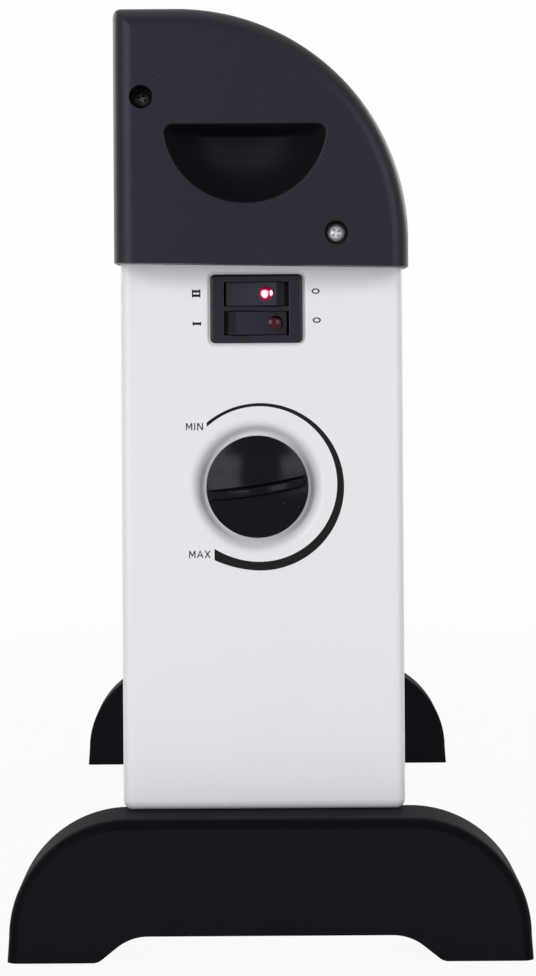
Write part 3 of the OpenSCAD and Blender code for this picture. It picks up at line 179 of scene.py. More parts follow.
def mineral(name, first, second, rough_low, rough_high, grain):
    look = Look(name)
    flakes = look.noise(grain, 5.0, 0.65)
    fine = look.noise(grain * 9, 3.0)
    colour = look.tint(flakes, first, second)
    rough = look.span(fine, rough_low, rough_high)
    bump = look.bump(fine, 0.2, 0.0001)
    return look.surface((colour, "Color"), rough, bump, {"Specular IOR Level": 0.4})


def red_lens(name, centre, spots, stops, glow):
    """A clear red lens whose colour runs up its stops towards the bright spots on it."""
    look = Look(name)
    where = look.place()
    shift = look.vectors("SUBTRACT", (where, "Object"), centre)
    swirl = look.noise(520.0, 2.0, where=where)
    share = look.span(swirl, -0.9, 0.1)
    for y, z, wide, high in spots:
        moved = look.vectors("SUBTRACT", (shift, "Vector"), (0, y * MM, z * MM))
        scaled = look.vectors("MULTIPLY", (moved, "Vector"), (0, 1 / MM / wide, 1 / MM / high))
        far = look.vectors("LENGTH", (scaled, "Vector"))
        ripple = look.span(swirl, 0.8, 1.2)
        near = look.numbers("SUBTRACT", (ripple, "Result"), (far, "Value"))
        share = look.numbers("MAXIMUM", (share, 0), (near, "Value"))
    ramp = look.tint((share, 0), stops[0][1], stops[-1][1])
    ramp.color_ramp.elements[0].position = stops[0][0]
    ramp.color_ramp.elements[1].position = stops[-1][0]
    for spot, colour in stops[1:-1]:
        ramp.color_ramp.elements.new(spot).color = (*colour, 1)
    facets = look.noise(900.0, 1.0, where=where)
    rough = look.span(facets, 0.06, 0.14)
    bump = look.bump(facets, 0.15, 0.0002)
    return look.surface((ramp, "Color"), rough, bump, {
        "Specular IOR Level": 0.3,
        "Specular Tint": (1.0, 0.6, 0.66, 1.0),
        "Emission Color": (ramp, "Color"),
        "Emission Strength": glow,
    })


def glass():
    look = Look("lamp_glass")
    ripple = look.noise(700.0, 1.0)
    rough = look.span(ripple, 0.03, 0.1)
    bump = look.bump(ripple, 0.1, 0.0001)
    return look.surface((0.95, 0.85, 0.8, 1.0), rough, bump, {"Transmission Weight": 0.9})


def soft_coat(name, first, second, grain, broad, rough_low, rough_high, relief, depth, specular):
    """Smooth insulation or ink."""
    look = Look(name)
    fine = look.noise(grain, 3.0)
    wide = look.noise(broad, 2.0)
    colour = look.tint(wide, first, second)
    rough = look.span(fine, rough_low, rough_high)
    bump = look.bump(fine, relief, depth)
    return look.surface((colour, "Color"), rough, bump, {"Specular IOR Level": specular})


def middle_of(node):
    low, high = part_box(node)
    return tuple((a + b) / 2 for a, b in zip(low, high))


# Two tints, least and most roughness, grain, depth of the grain, specular level
PLASTICS = {
    "black_plastic": (
        (0.0070, 0.0066, 0.0108), (0.0100, 0.0094, 0.0151), 0.36, 0.46, 2400.0, 0.00006, 0.215),
    # Painted shade: a darker, duller black for the faces deep in the hand recess
    "recess_painted_shade": (
        (0.0064, 0.0061, 0.0092), (0.0086, 0.0082, 0.0124), 0.46, 0.56, 2400.0, 0.00006, 0.10),
    # Painted shade: a much darker copy of the foot's plastic for the band along its front rounding
    "foot_edge_painted_shade": (
        (0.0022, 0.0024, 0.0034), (0.0032, 0.0034, 0.0046), 0.50, 0.58, 3000.0, 0.00004, 0.03),
    "foot_plastic": (
        (0.0068, 0.0071, 0.0098), (0.0086, 0.0089, 0.0120), 0.58, 0.68, 3000.0, 0.00005, 0.02),
    "knob_plastic": (
        (0.0007, 0.0006, 0.0012), (0.0011, 0.0010, 0.0018), 0.15, 0.20, 3600.0, 0.00003, 0.125),
    "switch_plastic": (
        (0.0100, 0.0094, 0.0150), (0.0140, 0.0131, 0.0200), 0.22, 0.30, 3600.0, 0.00003, 0.24),
    "rocker_plastic": (
        (0.0095, 0.0090, 0.0145), (0.0135, 0.0128, 0.0200), 0.34, 0.42, 3600.0, 0.00003, 0.14),
}
# Two tints, least and most roughness, then grain and relief where they differ from the usual
METALS = {
    "zinc_heads": ((0.44, 0.45, 0.48), (0.76, 0.76, 0.79), 0.30, 0.50, 1100.0, 0.0012),
    # Painted shade: a near black copy of the zinc for the upper screws, deep in their wells
    "painted_shade_heads": ((0.05, 0.05, 0.055), (0.12, 0.12, 0.13), 0.22, 0.40, 1100.0, 0.0012),
    "plated_steel": ((0.32, 0.33, 0.35), (0.46, 0.47, 0.50), 0.42, 0.58),
    "brass": ((0.72, 0.52, 0.22), (0.84, 0.66, 0.34), 0.22, 0.38),
    "resistance_alloy": ((0.34, 0.31, 0.30), (0.50, 0.47, 0.45), 0.38, 0.55),
}
# Two tints, least and most roughness, grain
MINERALS = {
    "mica": ((0.52, 0.42, 0.26), (0.76, 0.68, 0.52), 0.30, 0.46, 90.0),
    "ceramic": ((0.80, 0.77, 0.70), (0.88, 0.86, 0.80), 0.47, 0.63, 160.0),
}
# Fine and broad grain, least and most roughness, strength and depth of the relief, specular level
INSULATION = (1500.0, 80.0, 0.4, 0.55, 0.15, 0.0001, 0.5)
INK = (1800.0, 120.0, 0.35, 0.5, 0.1, 0.00005, 0.12)
INK_TINTS = ((0.004, 0.0035, 0.004), (0.007, 0.006, 0.007))
WIRES = {
    "brown_wire": ((0.12, 0.045, 0.02), (0.17, 0.07, 0.032)),
    "black_wire": ((0.012, 0.012, 0.012), (0.02, 0.02, 0.02)),
    "blue_wire": ((0.012, 0.06, 0.38), (0.02, 0.09, 0.48)),
    "green_yellow_wire": ((0.10, 0.34, 0.03), (0.62, 0.58, 0.02)),
}
# Bright spots on a lens: how far off its middle, then half their width and height
LIT_SPOTS = [(0.85, 0.1, 2.1, 2.2), (-1.75, 0.3, 0.9, 1.6)]
DARK_SPOTS = [(0.0, 0.0, 3.0, 3.0)]
# Colours of a lens, from its dim edge to its brightest spot
LIT_STOPS = [
    (0.05, (0.10, 0.002, 0.010)), (0.16, (0.42, 0.012, 0.075)), (0.30, (0.80, 0.14, 0.27)),
    (0.44, (1.0, 0.62, 0.70)), (0.60, (1.0, 0.88, 0.92)),
]
DARK_STOPS = [
    (0.0, (0.016, 0.0008, 0.003)), (0.5, (0.035, 0.0015, 0.005)), (0.9, (0.05, 0.002, 0.006)),
]
LIT_GLOW = 0.85

MATERIALS = {
    "white_steel": powder_coat(),
    **{name: grained_plastic(name, *look) for name, look in PLASTICS.items()},
    **{name: metal(name, *look) for name, look in METALS.items()},
    **{name: mineral(name, *look) for name, look in MINERALS.items()},
    "red_lens_lit": red_lens(
        "red_lens_lit", middle_of("lamp_lens_high"), LIT_SPOTS, LIT_STOPS, LIT_GLOW),
    "red_lens_dark": red_lens(
        "red_lens_dark", middle_of("lamp_lens_low"), DARK_SPOTS, DARK_STOPS, 0.0),
    "lamp_glass": glass(),
    "print_ink": soft_coat("print_ink", *INK_TINTS, *INK),
    **{name: soft_coat(name, *tints, *INSULATION) for name, tints in WIRES.items()},
}
# The record's slot for a finish that has no slot of its own
SLOT_OF = {s["node"]: s["material_slot"] for s in frame["record"]["subparts"]}
# Nodes whose finish is a shade of their slot
FINISH_OF = {"rocker_high": "rocker_plastic", "rocker_low": "rocker_plastic"}

for name, node in NODES.items():
    node.data.materials.clear()
    node.data.materials.append(MATERIALS[FINISH_OF.get(name, SLOT_OF[name])])


# Shapes

# Edges sharper than this stay sharp, in degrees: as a rule, and on pieces with square edges
CREASE = 38.0
SQUARE = 30.0
# Points of a drawn piece and of a frame node nearer than this are one, in metres
SAME_POINT = 2e-6
SAME_NODE_POINT = 4e-6
CUT_TOLERANCE = 1e-6


def inside(point, outline):
    """Whether a point is inside a closed outline."""
    odd = False
    for a, b in zip(outline, outline[1:] + outline[:1]):
        if (a.y > point.y) != (b.y > point.y):
            if point.x < a.x + (point.y - a.y) * (b.x - a.x) / (b.y - a.y):
                odd = not odd
    return odd


def carve(piece, tool):
    """Takes the tool's volume out of the piece for good."""
    cut = piece.modifiers.new("cut", "BOOLEAN")
    cut.operation = "DIFFERENCE"
    cut.solver = "EXACT"
    cut.object = tool
    seen = piece.evaluated_get(bpy.context.evaluated_depsgraph_get())
    carved = bpy.data.meshes.new_from_object(seen)
    carved.name = piece.name
    piece.modifiers.clear()
    piece.data = carved
    bpy.data.objects.remove(tool)


class Shell:
    """Rings of points in millimetres joined into one smooth mesh."""

    def __init__(self, mirror=False):
        self.points = []
        self.faces = []
        self.flats = []
        self.side = -1.0 if mirror else 1.0

    def ring(self, points):
        first = len(self.points)
        self.points += [(self.side * x, y, z) for x, y, z in points]
        return list(range(first, len(self.points)))

    def join(self, a, b, closed=True):
        count = len(a)
        for i in range(count if closed else count - 1):
            j = (i + 1) % count
            self.faces.append((a[i], a[j], b[j], b[i]))

    def rings(self, rows, closed=True):
        indices = [self.ring(row) for row in rows]
        for a, b in zip(indices, indices[1:]):
            self.join(a, b, closed)
        return indices

    def blind(self, rows):
        """Rings closed by a flat face at their far end, given back as their rim."""
        indices = self.rings(rows)
        self.flat(indices[-1])
        return indices[0]

    def solid(self, rows):
        """Rings closed by a flat face at each end."""
        indices = self.rings(rows)
        self.flat(indices[0])
        self.flat(indices[-1])
        return self

    def flat(self, border, holes=()):
        """Fills a flat face inside a border, round its holes."""
        self.flats.append((list(border), [list(h) for h in holes]))

    def triangles(self, border, holes):
        """Triangles between a flat border and its holes, as indices of points."""
        spans = [
            max(self.points[i][k] for i in border) - min(self.points[i][k] for i in border)
            for k in range(3)
        ]
        across, up = sorted(range(3), key=lambda k: spans[k])[1:]
        loops = [border] + holes
        outlines = [
            [Vector((self.points[i][across], self.points[i][up])) for i in loop] for loop in loops
        ]
        flat = [p for outline in outlines for p in outline]
        source = [i for loop in loops for i in loop]
        edges = []
        for outline in outlines:
            first = len(edges)
            count = len(outline)
            edges += [(first + k, first + (k + 1) % count) for k in range(count)]
        points, _, faces, came_from, _, _ = delaunay_2d_cdt(flat, edges, [], 1, CUT_TOLERANCE)
        found = []
        for face in faces:
            middle = sum((points[k] for k in face), Vector((0, 0))) / len(face)
            if inside(middle, outlines[0]) and not any(inside(middle, o) for o in outlines[1:]):
                found.append([source[came_from[k][0]] for k in face])
        return found

    def raw(self, name):
        """The shape as a plain object."""
        bm = bmesh.new()
        verts = [bm.verts.new(Vector(p) * MM) for p in self.points]
        for face in self.faces:
            corners = []
            for i in face:
                if verts[i] not in corners:
                    corners.append(verts[i])
            if len(corners) > 2:
                try:
                    bm.faces.new(corners)
                except ValueError:
                    pass
        for border, holes in self.flats:
            for corners in self.triangles(border, holes):
                bm.faces.new([verts[i] for i in corners])
        bmesh.ops.remove_doubles(bm, verts=bm.verts, dist=SAME_POINT)
        bmesh.ops.recalc_face_normals(bm, faces=bm.faces)
        mesh = bpy.data.meshes.new(name)
        bm.to_mesh(mesh)
        bm.free()
        piece = bpy.data.objects.new(name, mesh)
        SCENE.collection.objects.link(piece)
        return piece

    def make(self, name, slot, crease=CREASE, cutters=(), body="housing"):
        piece = self.raw(name)
        for k, cutter in enumerate(cutters):
            carve(piece, cutter.raw(f"{name}_cutter_{k}"))
        piece.data.materials.append(MATERIALS[slot])
        for face in piece.data.polygons:
            face.use_smooth = True
        even_shading(piece, crease)
        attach(piece, body)
        return piece


def arc(y, z, r, start, end, steps):
    turns = [math.radians(start + (end - start) * i / steps) for i in range(steps + 1)]
    return [(y + r * math.cos(a), z + r * math.sin(a)) for a in turns]


def free_ends(indices):
    """The loop along both ends of open rings."""
    return [row[0] for row in indices] + [row[-1] for row in indices[::-1]]


def at_x(points, x):
    return [(x, y, z) for y, z in points]


def circle(y, z, r, steps):
    return arc(y, z, r, 0.0, 360.0, steps)[:-1]


def rounding(r, steps):
    """How far in and how far down each step of a rounding is, from its side to its face."""
    turns = [math.radians(90 * i / steps) for i in range(steps + 1)]
    return [(r * (1 - math.cos(a)), r * (1 - math.sin(a))) for a in turns]


def crease_group():
    """Shades a mesh smooth but for the edges sharper than an angle."""
    group = bpy.data.node_groups.new("crease_by_angle", "GeometryNodeTree")
    for name, way, kind in (
        ("Geometry", "INPUT", "Geometry"), ("Angle", "INPUT", "Float"),
        ("Geometry", "OUTPUT", "Geometry"),
    ):
        group.interface.new_socket(name, in_out=way, socket_type="NodeSocket" + kind)
    enter = group.nodes.new("NodeGroupInput")
    leave = group.nodes.new("NodeGroupOutput")
    angle = group.nodes.new("GeometryNodeInputMeshEdgeAngle")
    soft = group.nodes.new("FunctionNodeCompare")
    soft.data_type = "FLOAT"
    soft.operation = "LESS_EQUAL"
    faces = group.nodes.new("GeometryNodeSetShadeSmooth")
    faces.domain = "FACE"
    edges = group.nodes.new("GeometryNodeSetShadeSmooth")
    edges.domain = "EDGE"
    link = group.links.new
    link(enter.outputs["Geometry"], faces.inputs["Geometry"])
    link(faces.outputs["Geometry"], edges.inputs["Geometry"])
    link(angle.outputs["Unsigned Angle"], soft.inputs["A"])
    link(enter.outputs["Angle"], soft.inputs["B"])
    link(soft.outputs["Result"], edges.inputs["Shade Smooth"])
    link(edges.outputs["Geometry"], leave.inputs["Geometry"])
    return group


CREASES = crease_group()


def even_shading(piece, crease):
    creases = piece.modifiers.new("creases", "NODES")
    creases.node_group = CREASES
    creases[CREASES.interface.items_tree["Angle"].identifier] = math.radians(crease)
    weights = piece.modifiers.new("weights", "WEIGHTED_NORMAL")
    weights.mode = "FACE_AREA"
    weights.weight = 70
    weights.keep_sharp = True


def tidy_node(node, width):
    """Joins a frame node's facets for smooth shading, and rounds its edges by a width if any."""
    weld = node.modifiers.new("weld", "WELD")
    weld.merge_threshold = SAME_NODE_POINT
    if width:
        bevel = node.modifiers.new("edges", "BEVEL")
        bevel.width = width * MM
        bevel.segments = 2
        bevel.limit_method = "ANGLE"
        bevel.angle_limit = math.radians(32.0)
        bevel.use_clamp_overlap = True
        bevel.miter_outer = "MITER_ARC"
    even_shading(node, CREASE)


# Sizes in millimetres, taken from the frame where it states them

def span_of(node, axis):
    low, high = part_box(node)
    return low[axis] / MM, high[axis] / MM


# The body's end, front, back, bottom and top
XE = -span_of("control_end_panel", 0)[0]
YF, YB = span_of("control_end_panel", 1)
ZB, ZT = span_of("control_end_panel", 2)
# The sheet, the outer radii of its bends, and the front's crown
SHEET = 0.8
BEND_R = 4.0
BACK_R = 3.2
CROWN_R = 92.2
CROWN_Y = YF + CROWN_R
CROWN_Z = ZT - CROWN_R
# How far from the body's end the step for the next panel and the flange's edge are
SEAM = 5.0
FLANGE = 26.0
KNOB_Y = sum(span_of("thermostat_spindle", 1)) / 2
KNOB_Z = sum(span_of("thermostat_spindle", 2)) / 2
BEZEL_Y = span_of("switch_housing", 1)
BEZEL_Z = span_of("switch_housing", 2)
SWITCH_Y = sum(BEZEL_Y) / 2
SWITCH_Z = sum(BEZEL_Z) / 2
BEZEL_X = span_of("switch_housing", 0)[0]
# A rocker's window in the bezel, and the distance between the two
WINDOW_W = 26.8
WINDOW_H = 9.9
ROW_PITCH = 11.9
HIGH_Z = SWITCH_Z + ROW_PITCH / 2
LOW_Z = SWITCH_Z - ROW_PITCH / 2
CAP_X, CAP_END = (-x for x in span_of("control_end_cap", 0))
CAP_Y = span_of("control_end_cap", 1)
CAP_Z = span_of("control_end_cap", 2)
# How far the cap stands off the body, its roundings, its wall and its lower edge's rise
CAP_GROW = 1.8
CAP_ROUND = 8.0
CAP_CORNER = 3.4
CAP_WALL = 2.4
CAP_TILT = 2.2
# The hand recess: its middle, top edge, arc and depth
HAND_Y = (YF + YB) / 2 + 6.3
HAND_TOP = ZT - 45.7
HAND_Z = HAND_TOP + 1.3
HAND_R = 33.0
HAND_CORNER = 3.5
HAND_DEPTH = 26.0
HAND_BACK_R = 60.0
# Middle and depth of the cap's upper and lower screw well
WELLS = [(YB - 9.7, ZT - 34.4, 14.0), (YF + 27.5, ZT - 89.7, 8.0)]
WELL_R = 4.8


# The hand recess, shared by the caps and the end panels

def hand_outline(g):
    """The half round outline of the hand recess, grown by g."""
    big = HAND_R + g
    rc = max(HAND_CORNER + g, 0.3)
    dz = HAND_TOP + g - rc - HAND_Z
    dy = math.sqrt((big - rc) ** 2 - dz ** 2)
    t = math.degrees(math.atan2(-dz, dy))
    half_steps = 16
    top = [(HAND_Y + dy * (1 - k / half_steps), HAND_TOP + g) for k in range(1, 2 * half_steps)]
    return (
        arc(HAND_Y, HAND_Z, big, 180 + t, 360 - t, 48)
        + arc(HAND_Y + dy, HAND_Z + dz, rc, -t, 90, 8)
        + top
        + arc(HAND_Y - dy, HAND_Z + dz, rc, 90, 180 + t, 8)
    )


def hand_back(y):
    """How far in the recess's curved back is, across the heater."""
    return -CAP_X + HAND_DEPTH - HAND_BACK_R + math.sqrt(HAND_BACK_R ** 2 - (y - HAND_Y) ** 2)


# End panels

def panel_outline(d):
    """The body's end view, drawn in by d."""
    r = max(BEND_R - d, 0.02)
    rb = max(BACK_R - d, 0.02)
    return (
        arc(YF + d + r, ZB + d + r, r, 180, 270, 8)
        + arc(YB - d - r, ZB + d + r, r, 270, 360, 8)
        + arc(YB - d - rb, ZT - d - rb, rb, 0, 90, 8)
        + arc(CROWN_Y, CROWN_Z, CROWN_R - d, 90, 180, 72)
    )


def rounded_box(y, z, w, h, r, steps=6):
    """Corners in the same order for every size, so that rings can be joined."""
    r = max(r, 0.02)
    return (
        arc(y + w / 2 - r, z - h / 2 + r, r, 270, 360, steps)
        + arc(y + w / 2 - r, z + h / 2 - r, r, 0, 90, steps)
        + arc(y - w / 2 + r, z + h / 2 - r, r, 90, 180, steps)
        + arc(y - w / 2 + r, z - h / 2 + r, r, 180, 270, steps)
    )


def on_switch(w, h, r, x):
    """A rounded box round the middle of the switch."""
    return at_x(rounded_box(SWITCH_Y, SWITCH_Z, w, h, r), x)


BEZEL_W = BEZEL_Y[1] - BEZEL_Y[0]
BEZEL_H = BEZEL_Z[1] - BEZEL_Z[0]
# What the holes in the back of the control end panel measure
BACK_HOLE_R = 26.5
BACK_WINDOW = (40, 30, 2)
PRESS_CORNER = 2.2
POCKET_GAP = 0.4
# Radius and depth of the pressed dish round the knob
DISH = [
    (28.6, 0.0), (27.6, 0.12), (26.7, 0.45), (25.8, 1.0), (25.0, 1.75), (24.3, 2.7),
    (23.6, 3.7), (22.9, 4.5), (22.2, 4.9), (21.5, 5.0), (8.0, 5.0),
]
# How far outside the bezel the pressing starts, and its depth there
PRESS = [(2.3, 0.0), (1.8, 0.05), (1.3, 0.2), (0.9, 0.45), (0.55, 0.68), (0.3, 0.78), (-1.0, 0.8)]


def end_panel(name, mirror):
    shell = Shell(mirror)
    rows = [
        at_x(panel_outline(SHEET * 2), -XE + FLANGE),
        at_x(panel_outline(SHEET), -XE + FLANGE),
        at_x(panel_outline(SHEET), -XE + SEAM),
        at_x(panel_outline(0.15), -XE + SEAM),
        at_x(panel_outline(0.0), -XE + SEAM - 0.2),
    ]
    for inward, down in rounding(BEND_R, 10):
        rows.append(at_x(panel_outline(inward), -XE + down))
    border = shell.rings(rows)[-1]
    rows = []
    for inward, down in rounding(BEND_R - SHEET, 5)[::-1]:
        rows.append(at_x(panel_outline(SHEET + inward), -XE + SHEET + down))
    rows.append(at_x(panel_outline(SHEET * 2), -XE + SEAM))
    rows.append(at_x(panel_outline(SHEET * 2), -XE + FLANGE))
    back = shell.rings(rows)[0]
    pocket = hand_outline(CAP_WALL + POCKET_GAP)
    edge = shell.rings([at_x(pocket, -XE), at_x(pocket, -XE + SHEET)])
    holes, back_holes = [edge[0]], [edge[1]]
    if not mirror:
        dish = [at_x(circle(KNOB_Y, KNOB_Z, r, 128), -XE + depth) for r, depth in DISH]
        holes.append(shell.rings(dish)[0])
        press = [
            on_switch(BEZEL_W + 2 * g, BEZEL_H + 2 * g, PRESS_CORNER + g, -XE + depth)
            for g, depth in PRESS
        ]
        holes.append(shell.rings(press)[0])
        back_holes.append(shell.ring(at_x(circle(KNOB_Y, KNOB_Z, BACK_HOLE_R, 64), -XE + SHEET)))
        back_holes.append(shell.ring(on_switch(*BACK_WINDOW, -XE + SHEET)))
    shell.flat(border, holes)
    shell.flat(back, back_holes)
    piece = shell.make(name, "white_steel")
    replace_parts(piece, "plain_end_panel" if mirror else "control_end_panel")


end_panel("control_end_panel_fine", False)
end_panel("plain_end_panel_fine", True)


# End caps

def cap_edge(y):
    """Height of the cap's slanting lower edge."""
    margin = 1.0
    share = (y - CAP_Y[0] + margin) / (CAP_Y[1] - CAP_Y[0] + 2 * margin)
    return CAP_Z[0] + CAP_TILT * share


def cap_outline(d):
    """The cap's end view from its front lower corner round to its back lower corner."""
    r = max(CAP_CORNER - d, 0.02)
    front, back = YF - CAP_GROW + d, YB + CAP_GROW - d
    curve = arc(CROWN_Y, CROWN_Z, CROWN_R + CAP_GROW - d, 180, 90, 96)
    corner = arc(back - r, ZT + CAP_GROW - d - r, r, 90, 0, 8)
    return [(front, cap_edge(front))] + curve + corner + [(back, cap_edge(back))]


def drawn_in(outline, share, below):
    """An outline drawn in to a share of its size, towards a point below the recess's top edge."""
    z0 = HAND_TOP - below
    return [(HAND_Y + (y - HAND_Y) * share, z0 + (z - z0) * share) for y, z in outline]


def swell(inward, blend):
    """From 0 at an edge to 1 at the end of its blend, round like an ellipse."""
    return math.sqrt(1 - (1 - min(max(inward, 0.0) / blend, 1.0)) ** 2)


# Rounding of the recess's edge, and the sizes of the rings across it and its outside
RECESS_LIP = 0.9
RECESS_SHARES = (
    0.997, 0.99, 0.978, 0.962, 0.94, 0.915, 0.885, 0.85, 0.8,
    0.74, 0.67, 0.59, 0.5, 0.4, 0.3, 0.2, 0.1, 0.03,
)
POCKET_SHARES = (1.0, 0.85, 0.68, 0.5, 0.32, 0.16, 0.04)
# How far in the recess reaches its full depth, from its top edge and from its round edge
TOP_BLEND = 3.8
ROUND_BLEND = 19.0


def hand_recess(shell):
    """The recess: steep under its top edge, and rising in a wide bowl to its lower edge."""
    rows = [at_x(hand_outline(down), -CAP_X + inward) for inward, down in rounding(RECESS_LIP, 6)]
    for share in RECESS_SHARES:
        row = []
        for y, z in drawn_in(hand_outline(0.0), share, 12):
            within = HAND_R - math.hypot(y - HAND_Y, z - HAND_Z)
            bowl = swell(HAND_TOP - z, TOP_BLEND) * swell(within, ROUND_BLEND)
            depth = (hand_back(y) + CAP_X) * bowl
            row.append((-CAP_X + max(depth, RECESS_LIP + 0.05), y, z))
        rows.append(row)
    return shell.blind(rows)


def pocket_outside(shell):
    """The outside of the recess's wall, behind the cap's seat on the panel."""
    outline = hand_outline(CAP_WALL)
    rows = [
        at_x(outline, -XE),
        [(max(hand_back(y) + CAP_WALL - 0.5, -XE + 0.3), y, z) for y, z in outline],
    ]
    for share in POCKET_SHARES:
        smaller = drawn_in(hand_outline(CAP_WALL - 0.5), share, 15)
        rows.append([(hand_back(y) + CAP_WALL, y, z) for y, z in smaller])
    return shell.blind(rows)


WELL_LIP = 0.6
WELL_FILLET = 0.4
WELL_BORE = 2.0


def well_ring(y, z, r, depth):
    return at_x(circle(y, z, r, 48), -CAP_X + depth)


def screw_well(shell, y, z, depth):
    rows = [well_ring(y, z, WELL_R + down, inward) for inward, down in rounding(WELL_LIP, 4)]
    rows.append(well_ring(y, z, WELL_R, depth - WELL_FILLET))
    rows.append(well_ring(y, z, WELL_R - WELL_FILLET, depth))
    rows.append(well_ring(y, z, WELL_BORE, depth))
    return shell.rings(rows)[0]


def edge_well(mirror, y, z, depth):
    """The tool for a screw well that runs into the cap's rounded edge."""
    return Shell(mirror).solid([
        well_ring(y, z, WELL_R, -2.0),
        well_ring(y, z, WELL_R, depth - WELL_FILLET),
        well_ring(y, z, WELL_R - WELL_FILLET, depth),
    ])


# How far in the cap's wall reaches at its open edge
CAP_LIP = 1.6
# Faces further in than this belong to the recess's bowl, which takes a darker, duller finish as
# painted shade
SHADED_BOWL_START = 1.5


def end_cap(name, mirror):
    shell = Shell(mirror)
    rows = [
        at_x(cap_outline(CAP_LIP), -XE),
        at_x(cap_outline(CAP_LIP), -CAP_END),
        at_x(cap_outline(0.15), -CAP_END),
        at_x(cap_outline(0.0), -CAP_END - 0.15),
    ]
    for inward, down in rounding(CAP_ROUND, 12):
        rows.append(at_x(cap_outline(inward), -CAP_X + down))
    indices = shell.rings(rows, closed=False)
    shell.flat(indices[-1], [hand_recess(shell), screw_well(shell, *WELLS[1])])
    shell.flat(free_ends(indices))
    shell.flat(indices[0], [pocket_outside(shell)])
    piece = shell.make(name, "black_plastic", cutters=[edge_well(mirror, *WELLS[0])])
    # The recess's bowl gets a darker, duller copy of the black plastic: painted shade in the hollow
    piece.data.materials.append(MATERIALS["recess_painted_shade"])
    bowl = [Vector(p) for p in hand_outline(0.1)]
    for face in piece.data.polygons:
        x, y, z = face.center / MM
        if abs(x) < CAP_X - SHADED_BOWL_START and inside(Vector((y, z)), bowl):
            face.material_index = 1
    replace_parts(piece, "plain_end_cap" if mirror else "control_end_cap")


end_cap("control_end_cap_fine", False)
end_cap("plain_end_cap_fine", True)


# Cap screws

# How far the upper and the lower cross are turned, in degrees
SCREW_TURNS = (25.0, 52.0)
# Distance behind the panel's face and radius of a screw's shank, from its tip
SCREW_TIP = ((6.5, 0.9), (5.5, 1.85))
# Height over its seat and radius of its head's edge
HEAD_EDGE = ((0.0, 1.9), (0.0, 3.2), (0.25, 3.55), (0.9, 3.6))
HEAD_R = 3.6
HEAD_TOP = 1.5
HEAD_DOME = 0.75
# Height over its seat, reach and half width of the cross, at its top and its bottom
CROSS = ((3.2, 2.5, 0.62), (0.7, 1.0, 0.36))


def cross_tool(side, seat, y, z, turn):
    """The tool for a tapered cross recess in a screw's head."""
    rows = []
    for over, reach, half in CROSS:
        ring = []
        for k in range(4):
            a = math.radians(turn - 90 * k)
            for u, v in ((half, half), (reach, half), (reach, -half)):
                across = u * math.cos(a) - v * math.sin(a)
                up = u * math.sin(a) + v * math.cos(a)
                ring.append((side * (seat - over), y + across, z + up))
        rows.append(ring)
    return Shell().solid(rows)


def cap_screws():
    shell = Shell()
    tools = []
    for side in (1, -1):
        for (y, z, depth), turn in zip(WELLS, SCREW_TURNS):
            seat = -CAP_X + depth
            rows = [(-XE + x, r) for x, r in SCREW_TIP] + [(seat - x, r) for x, r in HEAD_EDGE]
            for r in (3.45, 3.2, 2.8, 2.3, 1.7, 1.0, 0.3):
                rows.append((seat - HEAD_TOP - HEAD_DOME * (1 - (r / HEAD_R) ** 2), r))
            shell.solid([at_x(circle(y, z, r, 48), side * x) for x, r in rows])
            tools.append(cross_tool(side, seat, y, z, turn))
    piece = shell.make("cap_screws_fine", "zinc_heads", SQUARE, cutters=tools)
    # The upper screws, deep in their wells, get a near black copy of the zinc as painted shade
    piece.data.materials.append(MATERIALS["painted_shade_heads"])
    between = (WELLS[0][1] + WELLS[1][1]) / 2
    for face in piece.data.polygons:
        if face.center.z / MM > between:
            face.material_index = 1
    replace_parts(piece, "cap_screws")


cap_screws()


# Feet

FOOT_X, FOOT_END = (-x for x in span_of("control_end_foot", 0))
FOOT_Y = span_of("control_end_foot", 1)[1]
FOOT_H = span_of("control_end_foot", 2)[1]
# A foot's thickness, half its flat top, its end arcs and wall, and its front rounding
FOOT_T = 37.0
FOOT_FLAT = (YB - YF) / 2
FOOT_R = 47.5
FOOT_WALL = 2.6
FOOT_ROUND = 4.5
FOOT_RIBS = (-88.0, -30.0, 30.0, 88.0)
TONGUE_HALF = 48.0
TONGUE_T = 3.0
TONGUE_EASE = 0.4
ARCH_H = 10.6
ARCH_HALF = 69.5
ARCH_R = 20.0
ARCH_SLOPE = 38.7
ARCH_CORNER = 6.0
BACK_ROUND = 1.5
# The part of the front rounding that carries a painted dark band of shade
SHADE_BAND = (0.05, FOOT_ROUND - 1.0)


def foot_outline(d):
    """The foot's end view, drawn in by d but for its underside."""
    z = FOOT_H - FOOT_R
    return (
        [(FOOT_Y - d, 0.0)]
        + arc(FOOT_FLAT, z, FOOT_R - d, 0, 90, 44)
        + [(FOOT_FLAT * (1 - k / 8), FOOT_H - d) for k in range(1, 16)]
        + arc(-FOOT_FLAT, z, FOOT_R - d, 90, 180, 44)
        + [(-FOOT_Y + d, 0.0)]
    )


def prism(mirror, outline, x0, x1):
    """A straight block with the given end view."""
    return Shell(mirror).solid([at_x(outline, x0), at_x(outline, x1)])


def foot_arch():
    """End view of the space under the foot, with a soft corner at each end of its arch."""
    slope = math.radians(ARCH_SLOPE)
    run = ARCH_H - ARCH_R * (1 - math.cos(slope))
    half = ARCH_HALF - run / math.tan(slope) - ARCH_R * math.sin(slope)
    corner = ARCH_HALF + ARCH_CORNER * math.tan(slope / 2)
    return (
        [(corner, -1.0)]
        + arc(corner, ARCH_CORNER, ARCH_CORNER, 270, 270 - ARCH_SLOPE, 6)
        + arc(half, ARCH_H - ARCH_R, ARCH_R, 90 - ARCH_SLOPE, 90, 12)
        + arc(-half, ARCH_H - ARCH_R, ARCH_R, 90, 90 + ARCH_SLOPE, 12)
        + arc(-corner, ARCH_CORNER, ARCH_CORNER, 270 + ARCH_SLOPE, 270, 6)
        + [(-corner, -1.0)]
    )


